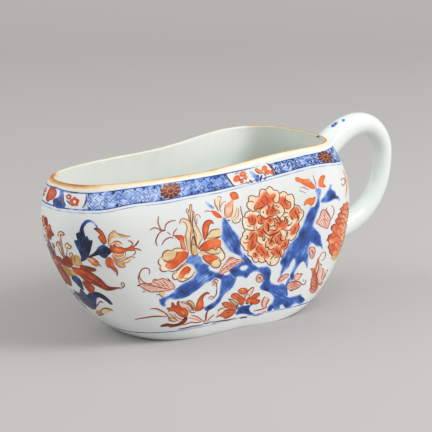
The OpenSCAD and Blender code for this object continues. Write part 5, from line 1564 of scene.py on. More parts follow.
lowerFlower = {
    "blue": [
        ([(236, 307), (239.5, 306.8), (242.5, 305.3), (245.5, 305.5), (249, 304.6), (251, 305),
          (249.5, 308), (250, 311), (253, 313), (257, 314.5), (260, 314.5), (257, 316), (251, 315.5),
          (245, 314), (240, 314), (236.5, 315), (235, 313.5), (237, 310.5)], 0.75),
    ],
    "pink": [
        ([(246.4, 294.6), (248, 291), (250, 289), (252.6, 287.2), (254, 287.6), (253, 290), (251.5, 293),
          (249.8, 295.6), (247.5, 298), (245.8, 301), (244.4, 299)], 0.16),
        ([(218.6, 310.4), (220.6, 308.8), (224, 307.4), (228, 308.2), (231, 309.4), (226, 310.4),
          (222, 312.6), (219.4, 314.8), (217.4, 313.4)], 0.18),
        ([(263, 298.6), (265.2, 296.8), (268.6, 298.4), (267, 302.4), (265.6, 306.8), (263, 307),
          (262.2, 303)], 0.2),
        ([(239, 296), (241.4, 294.4), (244.6, 295), (244.8, 298), (243, 297)], 0.2),
        ([(211.6, 283.6), (213.6, 280.2), (216.6, 279), (218.4, 281.4), (216.4, 285), (213, 286)], 0.25),
    ],
    "gold": [
        ([(229.3, 299.2), (231.5, 299.1), (234, 300.4), (236.5, 302.2), (238.4, 304.2), (237, 305.2),
          (234.4, 304.6), (232, 302.8), (230.4, 301)], 0.7),
        ([(245, 296.6), (246.8, 294.6), (249, 294.8), (249.4, 296.6), (247.4, 298.6), (246, 300.8),
          (244.8, 299)], 0.35),
    ],
    "red": [
        ([(238.2, 291.5), (239.2, 289.6), (241, 288.4), (243.5, 288.1), (246, 288.6), (247.2, 290),
          (247, 292), (245.5, 293.6), (243, 294.1), (240.5, 293.5)], 0.52, [(242, 289, 2, -0.25)]),
        ([(231.2, 295.5), (232.5, 294), (234.5, 293.2), (237, 293.4), (239, 294.6), (240.5, 296.1),
          (242.5, 297.2), (244, 299), (244, 301.5), (243, 304), (241, 305), (239.5, 304), (238.5, 301.6),
          (236.5, 299.6), (233.5, 298.2), (231.6, 297.2)], 0.55, [(235.4, 297, 1.6, -0.2),
          (241.5, 303, 2, 0.15)]),
        ([(246, 302.2), (247.5, 299.5), (250, 297.5), (252, 296), (254.5, 294.1), (257.5, 293),
          (259.6, 293.2), (259, 295.5), (257, 297.6), (255.6, 299.2), (258, 299.4), (259.8, 300),
          (259.4, 301.8), (257.5, 303.4), (254.5, 304.1), (251.5, 303.2), (249, 302.6), (247.2, 303.6)],
          0.58, [(249, 300.6, 2, -0.15)]),
        ([(222, 303.5), (224.5, 302.3), (227.5, 302.1), (230, 302.9), (232, 304.4), (234.5, 306),
          (236.6, 308), (235, 310), (233, 309.6), (230, 308.6), (226.5, 307.6), (224, 306)], 0.58,
          [(226, 305, 2, -0.1)]),
        ([(219, 315.6), (221.5, 313.5), (224, 311.5), (227, 310.2), (231, 309.9), (234, 309.9),
          (235.6, 311), (233, 314), (230, 316.5), (226.5, 318.1), (224.5, 317.6), (222, 316.3)], 0.62,
          [(225, 314.4, 2, -0.15)]),
    ],
    "hatched": [
        ([(219, 273), (221, 269), (224, 265), (227, 261), (229, 258), (232, 257), (236, 259), (240, 259.5),
          (243, 260.5), (240, 262.5), (237, 264), (233, 267), (229, 270), (225, 272.5), (221, 274)], -12,
          1.5),
        ([(256, 279), (257, 276), (259.5, 274), (262.5, 276), (263, 279.5), (260, 282), (257, 281.5)], 40,
          1.6),
    ],
    "outlined": ("red", "gold"),
    "redLines": [
        ([(265, 296.3), (263.2, 299), (262, 302.5), (262.1, 305.6), (263.4, 307.8)], 1.2, 0.78),
        ([(269.5, 298.8), (267.5, 302), (266, 305), (265.6, 307.6)], 1.2, 0.78),
        ([(253.5, 310.8), (257, 310.2), (261, 309.4), (264.6, 308.2), (267, 306.6)], 1.1, 0.85),
        ([(262.6, 312.2), (266, 311.2)], 0.9, 0.8), ([(257, 314), (260.4, 313.9), (263, 313.4)], 0.9, 0.8),
        ([(216.4, 317.4), (218, 316), (219.6, 315.2)], 1.3, 0.95),
        ([(224, 318.6), (228, 317.2), (232, 315), (235.4, 311.8)], 1.1, 0.92),
    ],
    "lines": [
        ([(209, 321.8), (213, 322), (218, 321.3), (223, 320.5), (228, 319.9), (232, 319), (236.4, 318.2)],
          1.1, 0.8),
        ([(240, 318.3), (243, 317.5), (247, 317.1)], 1.2, 0.85),
        ([(246.4, 294.6), (248, 291), (250, 289), (252.6, 287.2), (254, 287.6)], 0.9, 0.65),
        ([(254, 287.8), (253, 290.4), (251.5, 293.2), (250, 295.4)], 0.8, 0.6),
        ([(244.6, 295), (244.8, 298), (244.2, 301)], 0.8, 0.6), ([(251.4, 287.6), (254, 287.5)], 1.1, 0.9),
        ([(228.4, 298.6), (229.8, 299.6)], 1.5, 0.9), ([(236, 307), (238, 305.5)], 1.6, 1),
        ([(250.4, 303.4), (252.2, 304.8)], 1.9, 1), ([(245.4, 303.4), (248.4, 303.6)], 1.2, 0.95),
        ([(217.8, 311), (219.4, 309.4), (222, 308.2), (225.4, 307.5)], 0.9, 0.7),
        ([(218, 310.4), (219, 311)], 1.3, 0.9), ([(223, 310.6), (227, 309.4), (231, 309.2)], 0.7, 0.6),
        ([(222, 314.6), (226, 313), (231, 311.6)], 0.7, 0.75),
        ([(225, 304.4), (229, 305.4), (233, 307.8)], 0.7, 0.75),
        ([(258.6, 299.4), (260, 300.8)], 1.3, 0.85),
        ([(250, 300), (254, 297.6), (257.4, 294.8)], 0.7, 0.75),
        ([(234, 295.4), (238, 297.6), (241, 300.6)], 0.7, 0.75),
        ([(240.6, 290.2), (241.6, 292.4)], 0.7, 0.7), ([(244.4, 289.6), (245, 292)], 0.7, 0.7),
        ([(220, 273), (225, 268), (231, 264), (238, 261)], 0.8, 0.5),
        ([(223, 266), (228, 260.5), (233, 258), (238, 260)], 0.8, 0.4),
        ([(226, 269.5), (231, 266), (236, 262.5)], 0.7, 0.45),
        ([(256, 279), (257, 276), (259.5, 274), (262.5, 276), (263, 279.5), (260, 282), (257, 281.5),
          (256, 279)], 0.8, 0.5),
        ([(257, 279.5), (258.5, 277.5), (260.5, 278), (260, 280.5)], 0.9, 0.6),
        ([(217, 287), (216.6, 290.5), (216.4, 293.6), (215, 296.4), (213.6, 298)], 0.9, 0.75),
        ([(212, 283), (214.2, 280.2), (216.6, 279.2), (218.2, 281.4)], 0.9, 0.6),
        ([(212.8, 285.2), (215, 282.8), (216.8, 283.6), (215.8, 285.6)], 0.9, 0.7),
        ([(214, 281.6), (215.6, 282)], 1.1, 0.75), ([(216.4, 285), (216.8, 287)], 0.9, 0.7),
    ],
}

bandFlowers = {
    "over": [
        ([(249.6, 171.4), (251.5, 171.4), (254, 173), (256.5, 174.6), (259, 176), (259.6, 179.5),
          (258.5, 181.6), (255.5, 181.4), (254.4, 178.5), (252, 177), (250.4, 174.5)], 0.5,
          [(251.5, 174.5, 3, -0.25), (257.8, 175.4, 1.5, 0.3), (256.5, 181, 1.8, 0.3)]),
        ([(53, 200), (56, 198), (59, 196), (60, 191), (63, 190.5), (64, 195), (64.5, 201), (66, 205),
          (64, 208), (60, 208.5), (56, 207.5), (53.5, 204.5)], 0.85, [(61, 193, 3, -0.3)]),
    ],
    "overLines": [
        ([(257.4, 174.6), (258.6, 176.4)], 1.4, 0.9),
        ([(266, 176.4), (265.4, 178.4), (263.6, 179.6)], 1.2, 0.85),
        ([(261.8, 174.8), (260.8, 178), (260.4, 181)], 1.9, 1),
        ([(66.5, 200.5), (69, 202.5), (70.5, 205)], 1.5, 0.9),
    ],
    "red": [
        ([(254.8, 169.2), (256.2, 167.8), (258, 168.6), (260.2, 169.8), (262.4, 170.4), (262.6, 172.4),
          (260.4, 173.6), (258, 172.8), (256, 171.4)], 0.36),
        ([(261.6, 169.4), (262, 167), (263.8, 165.6), (266, 166), (267.4, 167.8), (266.8, 170),
          (264.4, 170.8), (262.6, 170.6)], 0.42),
        ([(265, 171.4), (266.6, 169.8), (268.6, 169.4), (270, 170.6), (270, 173), (268.4, 174.6),
          (266.4, 174.2)], 0.4),
        ([(270.2, 171), (271.6, 169.6), (272.8, 170.8), (273, 173.4), (271.8, 174.6), (270.4, 173.4)], 0.5),
        ([(233.2, 180.8), (233.6, 177.5), (235.5, 175.5), (238.5, 175.3), (240.2, 177.3), (239.8, 180),
          (237.5, 181.8), (234.8, 182)], 0.52, [(237, 177.6, 2, 0.12)]),
        ([(239.8, 175.8), (240, 172.8), (242, 171), (244.6, 171.2), (246, 173.4), (245.2, 175.8),
          (242.6, 176.4)], 0.36),
        ([(243.8, 178.2), (243.6, 176.4), (245.6, 175), (247.4, 176.6), (247, 179.2), (245.2, 180)], 0.32),
        ([(239.8, 182.2), (239.6, 180), (241.6, 179), (243.6, 180.2), (243.2, 182.8), (241.4, 183.6)],
          0.46),
        ([(46, 199), (47.5, 193), (50, 188), (53, 187), (56, 189.5), (57, 193), (55.5, 197), (53, 199.5),
          (50, 200.5), (48, 202)], 0.8, [(52, 193, 3, -0.3)]),
    ],
    "lines": [
        ([(244.8, 178.6), (245.8, 179.4)], 1.4, 0.9),
        ([(249.4, 179.8), (251, 181.6), (252.4, 182.8)], 1.8, 0.75),
        ([(234.8, 174.6), (236.5, 173.1), (239, 173)], 1, 0.5),
        ([(245.6, 181.8), (247.4, 182.8), (249.4, 183.2)], 1.5, 0.3),
        ([(239.9, 172.8), (240, 175.6), (242.4, 176.2), (245, 175.4), (246, 173.4)], 1, 0.55),
        ([(243.6, 176.4), (243.9, 178.4), (242, 179), (240.2, 179.6), (239.6, 181)], 1, 0.6),
        ([(254.8, 169.4), (256, 171.4), (258, 172.8), (260.4, 173.6), (262.4, 172.8)], 1, 0.55),
        ([(262.6, 172.4), (264.6, 174.4), (266, 176.2)], 1.2, 0.8),
        ([(272.4, 170.6), (273, 173), (273.2, 175.6)], 1.1, 0.5),
        ([(267.4, 170.6), (267.6, 172.2)], 1.4, 0.6), ([(271, 170.6), (271.4, 172)], 1.3, 0.65),
        ([(264.4, 170.8), (265, 172.4), (266.6, 174.2)], 0.9, 0.6),
        ([(225.5, 173.5), (227, 177), (229.5, 180.5), (232, 184), (234.5, 186)], 1.4, 0.95),
        ([(266.3, 163), (269.5, 166), (272.5, 170), (274.5, 174.5)], 1, 0.8),
        ([(268.3, 163.5), (271.5, 166.5), (274.5, 170.5), (276, 174.5)], 1, 0.9),
        ([(86.5, 194.5), (86.3, 199), (85, 204), (82.3, 208)], 1.4, 0.9),
    ],
}

handleMarks = {
    "blue": [
        ([(331, 126), (333, 123.5), (336, 122), (338, 122.5), (336.5, 125), (334, 127), (332, 127.5)],
          0.75),
        ([(341.5, 120), (343, 118.8), (345, 119.5), (344.5, 121.3), (342.5, 121.8)], 0.75),
    ],
}

for motif in (rockBranch, rightTrunk, frontSpray, lilySpray, featherScroll, groundFlower, budAndLeaf, peony,
              rightSpray, rightFlower, rightCurls, lowerFlower):
    paintMotif(motif)
peonyPen = {"width": 0.8, "tone": 0.72}
paintLine("lines", peonyEdge, peonyPen["width"], peonyPen["tone"], closed=True)


# The right flower runs on out of sight. Its hidden half is a guess: like the seen one, with petals in rings
flowerForm = {
    "middle": (342, 229), "edge": (343.5, 226),  # pixels
    "halvings": 24, "turnStep": 0.01,
    "rings": [{"out": 3.5, "petals": 3}, {"out": 8, "petals": 5}, {"out": 11, "petals": 7}],
    "span": 70, "petalHalfW": 2.5, "petalL": 3.2, "red": 0.9, "redSize": 0.9, "lineW": 0.42, "line": 0.7,
}
# A petal's edge from root to tip to root, in shares of its length and half width
petalEdge = [(-1, -1), (-1 / 3, -0.95), (-0.125, -0.5), (0, 0), (-0.125, 0.5), (-1 / 3, 0.95), (-1, 1)]


def turnAt(place):
    # the turn at which the near wall passes a place
    low, high = math.pi, math.tau
    for halving in range(flowerForm["halvings"]):
        turn = mix(low, high, 0.5)
        low, high = (turn, high) if wallAt(turn, place.z / mm).x < place.x / mm else (low, turn)
    return low


flowerH = wallPlace(*flowerForm["middle"])[0].z / mm
flowerTurn = turnAt(wallPlace(*flowerForm["edge"])[0])
flowerStep = wallAt(flowerTurn + flowerForm["turnStep"], flowerH) - wallAt(flowerTurn, flowerH)
flowerReach = flowerStep.length / flowerForm["turnStep"]  # mm round the wall for a turn of one radian
print("right flower at", math.degrees(flowerTurn), "reach", flowerReach, "height", flowerH)


def hiddenPlace(x, y):
    # round the side from what the camera sees: the same distance past the flower's middle
    hit = wallPlace(x, y)[0]
    return seatAt(2 * flowerTurn - turnAt(hit), hit.z / mm)


def flowerPlace(s, h):
    # mm round the wall and up from the right flower's middle
    return seatAt(flowerTurn + s / flowerReach, flowerH + h)


paintMotif(rightFlower, hiddenPlace)
for ring in flowerForm["rings"]:
    for k in range(ring["petals"]):
        degrees = flowerForm["span"] * (2 * k / (ring["petals"] - 1) - 1)
        turn = Matrix.Rotation(math.radians(degrees), 2)
        petal = []
        for lengthShare, widthShare in petalEdge:
            out = ring["out"] + lengthShare * flowerForm["petalL"]
            petal.append(turn @ Vector((out, widthShare * flowerForm["petalHalfW"])))
        paintLine("lines", petal, flowerForm["lineW"], flowerForm["line"], flowerPlace)
        if k % 2 == 0:
            redPetal = [p * flowerForm["redSize"] for p in petal]
            paintWash("bloom", redPetal, flowerForm["red"], place=flowerPlace)
paintMotif(handleMarks, handlePlace, False)
lipMark = {"edge": [(316.6, 136.8), (318, 135.6), (319.6, 136.2), (318.6, 137.2)], "tone": 0.95}
paintWash("lines", lipMark["edge"], lipMark["tone"], place=lipPlace, bothSides=False)

# The border under the lip, in mm: s runs along it from the front tip and h up from its low edge
bandForm = {
    "height": 8.5, "middleDrop": 7.75, "hoopSteps": 560, "hoopTrack": 0.9, "runSteps": 700, "edgeStep": 2,
    "topEdge": [(58, 187.5), (62.5, 189.5), (85, 192.7), (104.8, 191.5), (124.4, 188.9), (153.9, 185),
                (189, 179.4), (222.8, 173.6), (270, 163.6), (299.3, 156.6), (330.8, 147.4)],  # pixels
    "lowEdge": [(52.7, 206.2), (65.5, 209), (90, 210.6), (104.8, 210), (134, 204.2), (163.7, 200.8),
                (187, 196.3), (232, 187), (276.5, 175), (316.7, 164.7), (341.6, 161)],
    "edgeW": 0.6, "fineDrop": 1.1, "fineW": 0.34, "footLineH": 6.2, "footLineW": 0.5,
    "cell": 2.6, "rowH": 2.3, "firstRow": 1.95, "rows": 3, "strokeL": 2.2, "strokeW": 0.44, "pairGap": 0.55,
    "dotR": 0.5, "dotEvery": 5, "lipGap": 0.1, "dressDrop": 2.2, "dress": 0.26, "dressEven": 0.65,
    "dressFront": 0.35,
}
ribbonSet = {"front": 0.12, "florets": 0.3, "rear": 0.17, "edges": 0.5,
             "cloud": 0.16, "scale": 26, "rise": 2.5}
# The border's lines: their tones, and how much, how finely and by which noise each edge and tone wavers
lineTone = {"top": 0.66, "low": 0.7, "fine": 0.22, "foot": 0.66, "footWorn": 0.56, "footPower": 4}
lineWaver = {
    "topIn": (0.8, 30, 4), "topOut": (0.15, 40, 7), "topTone": (0.5, 18, 1),
    "lowIn": (0.7, 30, 5), "lowOut": (0.15, 40, 9), "lowTone": (0.5, 18, 2),
    "fineTone": (0.3, 14, 3), "footTone": (0.25, 14, 6),
}
bandTurns = [math.pi + k * math.pi / bandForm["runSteps"] for k in range(bandForm["runSteps"] + 1)]
bandLine = [wallAt(turn, lipHeight(planPlace(turn)[0]) - bandForm["middleDrop"]) for turn in bandTurns]
bandRuns = [0.0]
for a, b in zip(bandLine, bandLine[1:]):
    bandRuns.append(bandRuns[-1] + (b - a).length)


def bandRun(x, y):
    # how far along the border a pixel of the photograph is
    hit = wallPlace(x, y)[0] / mm
    return min(zip(bandLine, bandRuns), key=lambda entry: (entry[0].xy - hit.xy).length)[1]


def runOf(turn):
    # distance along the border at a turn, the same on both sides
    nearTurn = turn if turn >= math.pi else math.tau - turn
    return bandRuns[round((nearTurn - math.pi) / math.pi * bandForm["runSteps"])]


def edgeDrops(pixels):
    # the border's edge as a smooth line of distance along and height below the lip
    drops = []
    for x, y in pixels:
        run = bandRun(x, y)
        turn = bandTurns[bandRuns.index(run)]
        drops.append((run, lipHeight(planPlace(turn)[0]) - wallPlace(x, y)[0].z / mm))
    return smoothPath(drops, False, bandForm["edgeStep"])


topDrops, lowDrops = edgeDrops(bandForm["topEdge"]), edgeDrops(bandForm["lowEdge"])


def dropAt(drops, run):
    k = bisect.bisect_right(drops, run, key=lambda p: p.x)
    if k == 0 or k == len(drops):
        return drops[min(k, len(drops) - 1)].y
    return mix(drops[k - 1].y, drops[k].y, (run - drops[k - 1].x) / (drops[k].x - drops[k - 1].x))


def bandLow(turn):
    return lipHeight(planPlace(turn)[0]) - dropAt(lowDrops, runOf(turn))


def bandHigh(turn):
    return lipHeight(planPlace(turn)[0]) - dropAt(topDrops, runOf(turn))


def bandPlace(s, h):
    # a place on the border; s below zero is on the far side
    k = min(bisect.bisect_right(bandRuns, abs(s)), len(bandRuns) - 1)
    t = (abs(s) - bandRuns[k - 1]) / (bandRuns[k] - bandRuns[k - 1])
    turn = mix(bandTurns[k - 1], bandTurns[k], t)
    turn = turn if s >= 0 else math.tau - turn
    return seatAt(turn, mix(bandLow(turn), bandHigh(turn), h / bandForm["height"]))


frontEnd = {"top": bandRun(86.5, 194.5), "low": bandRun(82.3, 208)}
sideEnds = {"from": bandRun(229, 180), "to": bandRun(273, 169)}
floretRuns = [bandRun(170.5, 191), bandRun(326, 157.3)]
print("border", frontEnd, sideEnds, floretRuns, bandRuns[-1])


def cloud(turn, scale, seed):
    return noise.noise(Vector((math.cos(turn) * scale, math.sin(turn) * scale, seed)))


def waver(name, turn):
    amount, scale, seed = lineWaver[name]
    return amount * cloud(turn, scale, seed)


def ribbonTone(turn, share):
    run = runOf(turn)
    light = ribbonSet["front"]
    if floretRuns[0] < run < sideEnds["from"]:
        light = ribbonSet["florets"]
    elif run > sideEnds["to"]:
        light = ribbonSet["rear"]
    clouded = ribbonSet["cloud"] * cloud(turn, ribbonSet["scale"], share * ribbonSet["rise"])
    return light + clouded + ribbonSet["edges"] * abs(share - 0.5) ** 2


def lipFoot(turn):
    return lipHeight(planPlace(turn)[0]) - potForm["lipBeadH"] - bandForm["lipGap"]


def dressTone(turn, share):
    return bandForm["dress"] * share * (bandForm["dressEven"] - bandForm["dressFront"] * math.cos(turn))


def footTone(turn, share):
    worn = lineTone["footWorn"] * math.sin(turn) ** lineTone["footPower"]
    return lineTone["foot"] - worn + waver("footTone", turn)


def paintHoop(layer, low, high, rows, toneAt):
    # a band right round the wall; low and high give its edges' heights at a turn
    seats, faces, tones, tracks = [], [], [], []
    count = bandForm["hoopSteps"]
    for k in range(count):
        turn = k * math.tau / count
        for row in range(rows + 1):
            share = row / rows
            z = mix(low(turn), high(turn), share)
            seats.append(seatAt(turn, z))
            tones.append(clip01(toneAt(turn, share)))
            tracks.append((k * bandForm["hoopTrack"], z))
    for k in range(count):
        for row in range(rows):
            a, b = k * (rows + 1) + row, (k + 1) % count * (rows + 1) + row
            faces.append([a, b, b + 1, a + 1])
    layFilm(layer, seats, faces, tones, tracks, False)


# the lip's dressing runs down a little way below it
paintHoop("dressed", lambda turn: lipFoot(turn) - bandForm["dressDrop"], lipFoot, 3, dressTone)
paintHoop("ribbon", bandLow, bandHigh, 6, ribbonTone)
paintHoop("blue", lambda turn: bandHigh(turn) - bandForm["edgeW"] * (1 + waver("topIn", turn)),
          lambda turn: bandHigh(turn) + waver("topOut", turn), 1,
          lambda turn, share: lineTone["top"] + waver("topTone", turn))
paintHoop("blue", lambda turn: bandLow(turn) - waver("lowOut", turn),
          lambda turn: bandLow(turn) + bandForm["edgeW"] * (1 + waver("lowIn", turn)), 1,
          lambda turn, share: lineTone["low"] + waver("lowTone", turn))
paintHoop("blue", lambda turn: bandLow(turn) - bandForm["fineDrop"] - bandForm["fineW"],
          lambda turn: bandLow(turn) - bandForm["fineDrop"], 1,
          lambda turn, share: lineTone["fine"] + waver("fineTone", turn))
paintHoop("blue", lambda turn: bandForm["footLineH"],
          lambda turn: bandForm["footLineH"] + bandForm["footLineW"], 1, footTone)

# Diaper: pairs of short strokes turned this way and that, with dark dots along the edges
diaperSet = {
    "shift": 0.25, "wobble": 0.2, "slant": math.pi / 4, "endGap": 1,
    "paleTone": (0.45, 0.85), "darkTone": (0.65, 1.0), "paleW": 0.75, "boldW": 1.7,
    "skip": 0.25, "boldSkip": 0.4,  # strokes that have worn off
    "dotRows": (1.1, 7.4), "dotStart": 2, "dotEndGap": 2, "dotSides": 8, "dotTone": 0.95,
    "dotSize": (0.7, 1.5), "dotGap": (0.6, 1.5),
}


def paintMark(corners, tone):
    # a small flat mark on the border, and the same on the far side
    count = len(corners)
    for side in (1, -1):
        seats = [bandPlace(side * s, h) for s, h in corners]
        layFilm("blue", seats, [list(range(count))], [tone] * count, corners, False)


random.seed(7)
for column in range(int(bandRuns[-1] / bandForm["cell"])):
    run = (column + 0.5) * bandForm["cell"]
    pale = frontEnd["low"] < run < floretRuns[0]
    bold = run > sideEnds["to"]
    for row in range(bandForm["rows"]):
        slant = diaperSet["slant"] if (column + row) % 2 else -diaperSet["slant"]
        for pair in (-1, 1):
            shift = random.uniform(-diaperSet["shift"], diaperSet["shift"])
            wobble = random.uniform(-diaperSet["wobble"], diaperSet["wobble"])
            strength = random.uniform(*diaperSet["paleTone" if pale else "darkTone"])
            if random.random() < diaperSet["boldSkip" if bold else "skip"]:
                continue
            aimS, aimH = math.cos(slant + wobble), math.sin(slant + wobble)
            middleS = run + shift - aimH * pair * bandForm["pairGap"]
            middleH = bandForm["firstRow"] + row * bandForm["rowH"] + aimS * pair * bandForm["pairGap"]
            reach = bandForm["strokeL"] / 2
            width = bandForm["strokeW"] * (diaperSet["paleW"] if pale else diaperSet["boldW"] if bold else 1)
            corners = []
            for along, across in ((-1, -1), (1, -1), (1, 1), (-1, 1)):
                corners.append((middleS + along * aimS * reach - across * aimH * width / 2,
                                middleH + along * aimH * reach + across * aimS * width / 2))
            lowS, highS = min(s for s, h in corners), max(s for s, h in corners)
            if lowS >= frontEnd["top"] and highS <= bandRuns[-1] - diaperSet["endGap"]:
                paintMark(corners, strength)
dotTurns = [k * math.tau / diaperSet["dotSides"] for k in range(diaperSet["dotSides"])]
for edgeH in diaperSet["dotRows"]:
    dotS = frontEnd["top"] + random.uniform(0, diaperSet["dotStart"])
    while dotS < bandRuns[-1] - diaperSet["dotEndGap"]:
        dotR = bandForm["dotR"] * random.uniform(*diaperSet["dotSize"])
        paintMark([(dotS + dotR * math.cos(turn), edgeH + dotR * math.sin(turn)) for turn in dotTurns],
                  diaperSet["dotTone"])
        dotS += bandForm["dotEvery"] * random.uniform(*diaperSet["dotGap"])

# Reserved white panels, their flowers, and the brown florets drawn over in gilt
panelH = {"low": 0.8, "middle": 4.2, "high": 7.6}
frontTop, frontLow = frontEnd["top"], frontEnd["low"]
frontMiddle = mix(frontLow, frontTop, 0.5)
frontPanel = [(s, panelH["low"]) for s in (-frontLow, -frontLow / 2, 0, frontLow / 2, frontLow)]
frontPanel.append((frontMiddle, panelH["middle"]))
frontPanel += [(s, panelH["high"]) for s in (frontTop, frontTop / 2, 0, -frontTop / 2, -frontTop)]
frontPanel.append((-frontMiddle, panelH["middle"]))
paintWash("white", frontPanel, 0, place=bandPlace, bothSides=False)
sidePanel = [(227, 174.5), (236, 172.3), (248, 169.3), (258, 166.5), (267, 163.8), (270.5, 167), (273, 171),
             (274, 174.5), (268, 176.4), (258, 179.4), (248, 182), (235, 185.6), (231, 182), (228.5, 178)]
paintWash("white", sidePanel, 0)
paintMotif(bandFlowers)


smallForm = {"petals": 5, "away": 0.55, "petalR": 0.45, "eyeR": 0.3, "eyeTone": 0.1, "points": 7}
frontFlowers = [(74.6, 201.8, 5, 0.68), (68.8, 196.8, 3, 0.7)]  # x, y, reach and tone


def smallFlower(x, y, reach, tone):
    # round petals about a pale eye
    turns = [j * math.tau / smallForm["points"] for j in range(smallForm["points"])]
    for k in range(smallForm["petals"] + 1):
        isEye = k == smallForm["petals"]
        away = 0 if isEye else smallForm["away"] * reach
        size = smallForm["eyeR" if isEye else "petalR"] * reach
        angle = k * math.tau / smallForm["petals"]
        middle = Vector((x, y)) + Vector((math.sin(angle), -math.cos(angle))) * away
        edge = [middle + Vector((math.cos(turn), math.sin(turn))) * size for turn in turns]
        paintWash("gilt" if isEye else "red", edge, smallForm["eyeTone"] if isEye else tone)


for flower in frontFlowers:
    smallFlower(*flower)
floretForm = {
    "h": 4.4, "reachS": (6.5, 6.2), "reachH": 4.1, "tone": 1,
    "lobes": 10, "lobePoints": 6, "notch": 0.22, "notchPower": 6,
    "ring": 0.34, "ringPoints": 8, "rayFrom": 0.42, "rayTo": 0.9, "lineW": 0.22, "gilt": 0.8,
}


def floretPoint(run, reach, share, angle):
    along = run + reach * share * math.cos(angle)
    return (along, floretForm["h"] + floretForm["reachH"] * share * math.sin(angle))


for run, reach in zip(floretRuns, floretForm["reachS"]):
    lobed = []
    count = floretForm["lobes"] * floretForm["lobePoints"]
    for k in range(count):
        angle = k * math.tau / count
        dip = abs(math.cos(angle * floretForm["lobes"] / 2)) ** floretForm["notchPower"]
        lobed.append(floretPoint(run, reach, 1 - floretForm["notch"] * dip, angle))
    paintWash("red", lobed, floretForm["tone"], place=bandPlace)
    turns = [k * math.tau / floretForm["ringPoints"] for k in range(floretForm["ringPoints"])]
    ring = [floretPoint(run, reach, floretForm["ring"], turn) for turn in turns]
    paintLine("gilt", ring, floretForm["lineW"], floretForm["gilt"], bandPlace, closed=True)
    for k in range(floretForm["lobes"]):
        angle = k * math.tau / floretForm["lobes"]
        ray = [floretPoint(run, reach, floretForm[end], angle) for end in ("rayFrom", "rayTo")]
        paintLine("gilt", ray, floretForm["lineW"], floretForm["gilt"], bandPlace)


def makePaint(name, stops, roughness, streak, mottle=0.0):
    # the brush leaves streaks along its way, and the stops run from thin colour to thick
    finish, tree, shader = newFinish(name, roughness, ior=1.5)
    thickness = addNode(tree, "ShaderNodeAttribute", {"attribute_name": "tone"}).outputs["Fac"]
    track = addNode(tree, "ShaderNodeMapping", values={"Scale": (0.16, 1.1, 1)},
                    links={"Vector": addNode(tree, "ShaderNodeTexCoord").outputs["UV"]})
    bristles = addNode(tree, "ShaderNodeTexNoise", values={"Scale": 1.0, "Detail": 3.0},
                       links={"Vector": track.outputs["Vector"]})
    shift = addNode(tree, "ShaderNodeMapRange", values={"To Min": -streak, "To Max": streak},
                    links={"Value": bristles.outputs["Fac"]})
    place = addNode(tree, "ShaderNodeTexCoord").outputs["Object"]
    pools = addNode(tree, "ShaderNodeTexNoise", values={"Scale": 170.0, "Detail": 2.0},
                    links={"Vector": place})
    swell = addNode(tree, "ShaderNodeMapRange",
                    values={"From Min": 0.3, "From Max": 0.7, "To Min": -mottle, "To Max": mottle},
                    links={"Value": pools.outputs["Fac"]})
    uneven = addNode(tree, "ShaderNodeMath", {"operation": "ADD"},
                     links={0: shift.outputs["Result"], 1: swell.outputs["Result"]})
    total = addNode(tree, "ShaderNodeMath", {"operation": "ADD", "use_clamp": True},
                    links={0: thickness, 1: uneven.outputs["Value"]})
    colour = addNode(tree, "ShaderNodeValToRGB", {"stops": stops}, links={"Fac": total.outputs["Value"]})
    tree.links.new(colour.outputs["Color"], shader.inputs["Base Color"])
    return finish


def makeFilm(layer, name, finish):
    film = films[layer]
    mesh = bpy.data.meshes.new(name)
    mesh.from_pydata(film["points"], [], film["faces"])
    mesh.polygons.foreach_set("use_smooth", [True] * len(mesh.polygons))
    mesh.attributes.new("tone", "FLOAT", "POINT").data.foreach_set("value", film["tones"])
    tracks = mesh.uv_layers.new(name="track")
    for loop in mesh.loops:
        tracks.data[loop.index].uv = film["tracks"][loop.vertex_index]
    mesh.normals_split_custom_set(film["normals"])
    mesh.materials.append(finish)
    piece = bpy.data.objects.new(name, mesh)
    bpy.context.collection.objects.link(piece)
    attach(piece, "root")
    print(name, film["strokes"], len(mesh.polygons))


# Cobalt under the glaze: soft at the edges and watery in the washes, near black where two strokes meet
cobalt = makePaint("underglazeCobalt", [(0, "#c6d3ee"), (0.3, "#7a9cda"), (0.55, "#3a61b2"), (1, "#131a38")],
                   roughness=0.08, streak=0.34, mottle=0.18)
# Iron red enamel fired on the glaze: thin and orange in the middle of a petal, brown-red where it lies thick
ironRed = makePaint("ironRedEnamel", [(0, "#f5d6c4"), (0.35, "#ef8a4c"), (0.6, "#df5b24"), (1, "#681e10")],
                    roughness=0.25, streak=0.2, mottle=0.1)
# Iron red shaded off into buff, petal by petal
shadedRed = makePaint("shadedIronRed", [(0, "#f5e8d0"), (0.3, "#f3c69c"), (0.6, "#ec8c5a"), (1, "#d9572e")],
                      roughness=0.25, streak=0.16, mottle=0.08)
# Worn gilding: most of the leaf has gone and its buff ground shows
gilding = makePaint("wornGilding", [(0, "#f3e8d2"), (0.5, "#ebd0a0"), (1, "#c0914c")],
                    roughness=0.3, streak=0.2, mottle=0.1)
# Fine outlines in iron brown, drawn with a dry pen brush
ironBrown = makePaint("ironBrownLine", [(0, "#d9a890"), (0.5, "#98492f"), (1, "#38120a")],
                      roughness=0.3, streak=0.2)
